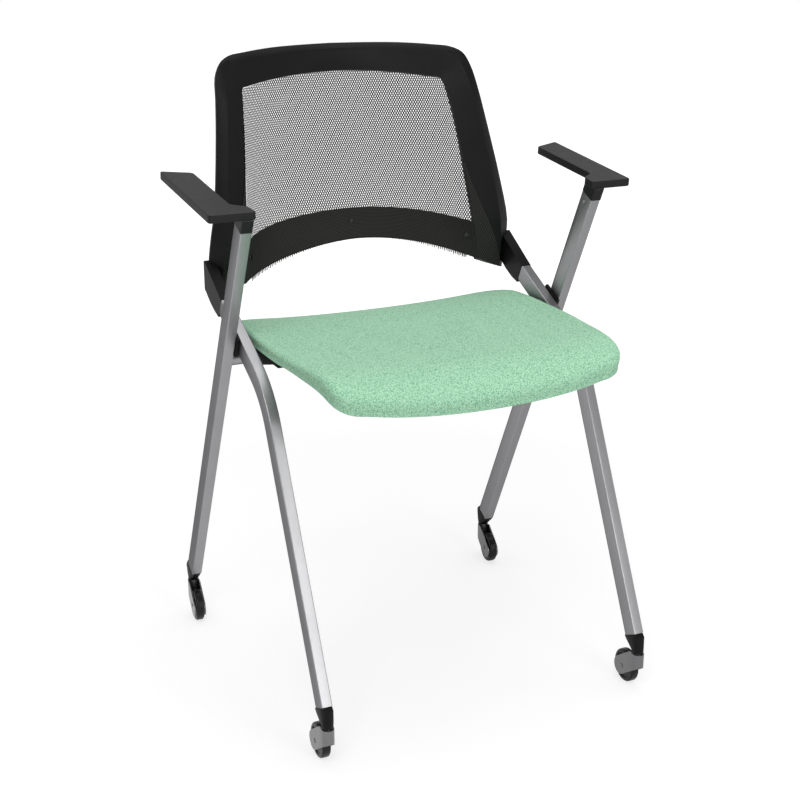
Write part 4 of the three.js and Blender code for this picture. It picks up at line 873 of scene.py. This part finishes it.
def pad_rings(count):
    """Rings from the middle of the underside round the edge to the middle of the top."""
    middle_y = (SEAT_REAR + SEAT_FRONT) / 2

    def shrunk(outline, share):
        return [(x * share, middle_y + (y - middle_y) * share) for x, y in outline]

    def under(x, y):
        return seat_top(x, y) - pad_thickness(y)

    def side_point(x, y, height):
        lift = (LIFT_UNDER + LIFT_SIDE * height) * corner_lift(x, y)
        return x, y, under(x, y) + height * pad_thickness(y) + lift

    def top_point(x, y, share):
        fullness = TOP_FULLNESS * (1 - share ** 2)
        return x, y, seat_top(x, y) + fullness + LIFT_TOP * corner_lift(x, y)

    rim, pan_edge = seat_outline(0, count), seat_outline(PAN_INSET, count)
    top_edge = seat_outline(TOP_INSET, count)
    rings = []
    for share in (*UNDERSIDE_SHRINKS, 1.0):
        rings.append([(x, y, under(x, y)) for x, y in shrunk(pan_edge, share)])
    for width_share, depth_share in SKIRT:
        ring = []
        for (xi, yi), (xo, yo) in zip(pan_edge, rim):
            share = width_share * skirt_width(yo) / PAN_INSET
            x, y = xo + (xi - xo) * share, yo + (yi - yo) * share
            drop = (skirt_depth(y) - LIFT_UNDER * corner_lift(x, y)) * depth_share
            ring.append((x, y, under(x, y) - drop))
        rings.append(ring)
    for inset, height in SIDE_PROFILE:
        outline = seat_outline(PAN_INSET * inset, count)
        rings.append([side_point(x, y, height) for x, y in outline])
    for step in range(1, TOP_RINGS + 1):
        share = 1 - step / (TOP_RINGS + 1)
        rings.append([top_point(x, y, share) for x, y in shrunk(top_edge, share)])
    return rings


def apply_modifiers(piece):
    bpy.context.view_layer.update()
    graph = bpy.context.evaluated_depsgraph_get()
    mesh = bpy.data.meshes.new_from_object(piece.evaluated_get(graph))
    old = piece.data
    piece.modifiers.clear()
    piece.data = mesh
    bpy.data.meshes.remove(old)


def puff_up(pad, held):
    """Cloth simulation: the filling presses on the cover, but for its first vertices."""
    group = pad.vertex_groups.new(name="held")
    group.add(list(range(held)), 1.0, "REPLACE")
    rest = [v.co.copy() for v in pad.data.vertices]
    cloth = pad.modifiers.new("cloth", "CLOTH")
    cloth.settings.use_pressure = True
    cloth.settings.uniform_pressure_force = CLOTH_PRESSURE
    cloth.settings.vertex_group_mass = "held"
    cloth.settings.effector_weights.gravity = 0
    cloth.settings.quality = 5
    for number in range(1, CLOTH_FRAMES + 1):
        scene.frame_set(number)
    apply_modifiers(pad)
    scene.frame_set(1)
    for v, start in zip(pad.data.vertices, rest):
        move = v.co - start
        if move.length > LONGEST_MOVE:
            v.co = start + move * (LONGEST_MOVE / move.length)


def seat_pad(count=104):
    """The cushion: its cover is held at the pan and puffed up by its filling."""
    rings = pad_rings(count)
    vertices, faces = [], []
    around = 2 * count
    for ring in rings:
        vertices += [Vector(p) * MM for p in ring]
        vertices += [Vector((-p[0], p[1], p[2])) * MM for p in reversed(ring[1:-1])]
    for r in range(len(rings) - 1):
        for k in range(around):
            a, b = r * around + k, r * around + (k + 1) % around
            faces.append((a, a + around, b + around, b))
    last = (len(rings) - 1) * around
    for k in range(count):
        left, right = k, (around - k) % around
        next_left, next_right = k + 1, (around - k - 1) % around
        for base, flip in ((0, False), (last, True)):
            corners = [base + c for c in (left, next_left, next_right, right)]
            corners = list(dict.fromkeys(corners))
            if len(corners) > 2:
                faces.append(tuple(reversed(corners)) if flip else tuple(corners))
    pad = new_object("seat_pad", vertices, faces, SEAT)
    puff_up(pad, HELD_RINGS * around)
    subdivide = pad.modifiers.new("subdivide", "SUBSURF")
    subdivide.levels = 1
    subdivide.render_levels = 1
    apply_modifiers(pad)
    for polygon in pad.data.polygons:
        polygon.use_smooth = True
    return pad


pad = seat_pad()
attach(pad, "seat")
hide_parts("seat_cushion")

# ---------------------------------------------------------------- studio


FLOOR_HALF = 9


def floor_material():
    """White to the camera but for the chair's soft shadow; pale paper to the light.

    In reflections it darkens toward the chair's left, which no real floor does: that
    makes the tubes on that side darker, as in the photo.
    """
    material, tree, shader = new_material("floor_paper", (0.6, 0.6, 0.6), 0.9)
    shader.inputs["Specular IOR Level"].default_value = 0.0
    output = tree.nodes["Material Output"]
    place = position(tree)
    length = add_node(tree, "ShaderNodeVectorMath", {0: place}, operation="LENGTH")
    strength = remap(tree, length.outputs["Value"], 0.9, 2.6, 0.72, 1.0)
    axes = add_node(tree, "ShaderNodeSeparateXYZ", {0: place})
    half_y = math_node(tree, "MULTIPLY", axes.outputs["Y"], 0.5)
    aside = math_node(tree, "ADD", half_y, axes.outputs["X"])
    shade = remap(tree, aside, -0.15, 0.45, 1.0, 0.4)
    glow = add_node(tree, "ShaderNodeEmission", {"Color": (1, 1, 1, 1), "Strength": strength})
    soft = add_node(tree, "ShaderNodeBsdfDiffuse", {"Color": (0.36, 0.36, 0.36, 1)})
    lit = add_node(tree, "ShaderNodeAddShader", {0: glow.outputs[0], 1: soft.outputs[0]})
    path = add_node(tree, "ShaderNodeLightPath")
    mirrored = math_node(tree, "MULTIPLY", path.outputs["Is Glossy Ray"], shade)
    seen = math_node(tree, "MAXIMUM", path.outputs["Is Camera Ray"], mirrored)
    seen = math_node(tree, "MAXIMUM", seen, path.outputs["Is Transmission Ray"])
    either = add_node(
        tree, "ShaderNodeMixShader", {0: seen, 1: shader.outputs[0], 2: lit.outputs[0]}
    )
    tree.links.new(either.outputs[0], output.inputs["Surface"])
    return material


def studio_world():
    """White to the camera, a soft even light, and in reflections white low down and grey above."""
    world = bpy.data.worlds.new("studio")
    scene.world = world
    world.use_nodes = True
    tree = world.node_tree
    tree.nodes.clear()
    output = tree.nodes.new("ShaderNodeOutputWorld")
    direction = add_node(tree, "ShaderNodeTexCoord").outputs["Generated"]
    parts = add_node(tree, "ShaderNodeSeparateXYZ", {0: direction})
    height = remap(tree, parts.outputs["Z"], 0.02, 0.55, 0.0, 1.0)
    room = mix_colors(tree, height, (1, 1, 1), (0.3, 0.3, 0.3))
    white = (1, 1, 1, 1)
    plain = add_node(tree, "ShaderNodeBackground", {"Color": white, "Strength": 1.0})
    lighting = add_node(tree, "ShaderNodeBackground", {"Color": white, "Strength": 0.42})
    mirrored = add_node(tree, "ShaderNodeBackground", {"Color": room, "Strength": 1.0})
    rays = add_node(tree, "ShaderNodeLightPath").outputs
    clear = math_node(tree, "MAXIMUM", rays["Is Camera Ray"], rays["Is Transmission Ray"])
    first = add_node(
        tree, "ShaderNodeMixShader",
        {0: rays["Is Glossy Ray"], 1: lighting.outputs[0], 2: mirrored.outputs[0]},
    )
    second = add_node(
        tree, "ShaderNodeMixShader", {0: clear, 1: first.outputs[0], 2: plain.outputs[0]}
    )
    tree.links.new(second.outputs[0], output.inputs["Surface"])


def area_light(name, place, target, size, power):
    data = bpy.data.lights.new(name, "AREA")
    data.shape = "RECTANGLE"
    data.size, data.size_y = size
    data.energy = power
    light = bpy.data.objects.new(name, data)
    light.location = place
    aim = Vector(target) - Vector(place)
    light.rotation_euler = aim.to_track_quat("-Z", "Y").to_euler()
    scene.collection.objects.link(light)


floor_corners = [
    (x * FLOOR_HALF, y * FLOOR_HALF, 0) for x, y in ((-1, -1), (1, -1), (1, 1), (-1, 1))
]
floor = new_object("floor", floor_corners, [(0, 1, 2, 3)], floor_material())

studio_world()
area_light("key", (-1.6, -2.2, 3.4), (0, 0, 0.5), (1.8, 1.8), 48)
area_light("top", (0.4, 0.3, 3.6), (0, 0, 0.4), (2.4, 2.4), 34)
area_light("front", (0.45, -2.3, 0.95), (-0.1, 0, 0.25), (0.8, 1.3), 13)

scene.view_settings.view_transform = "Standard"
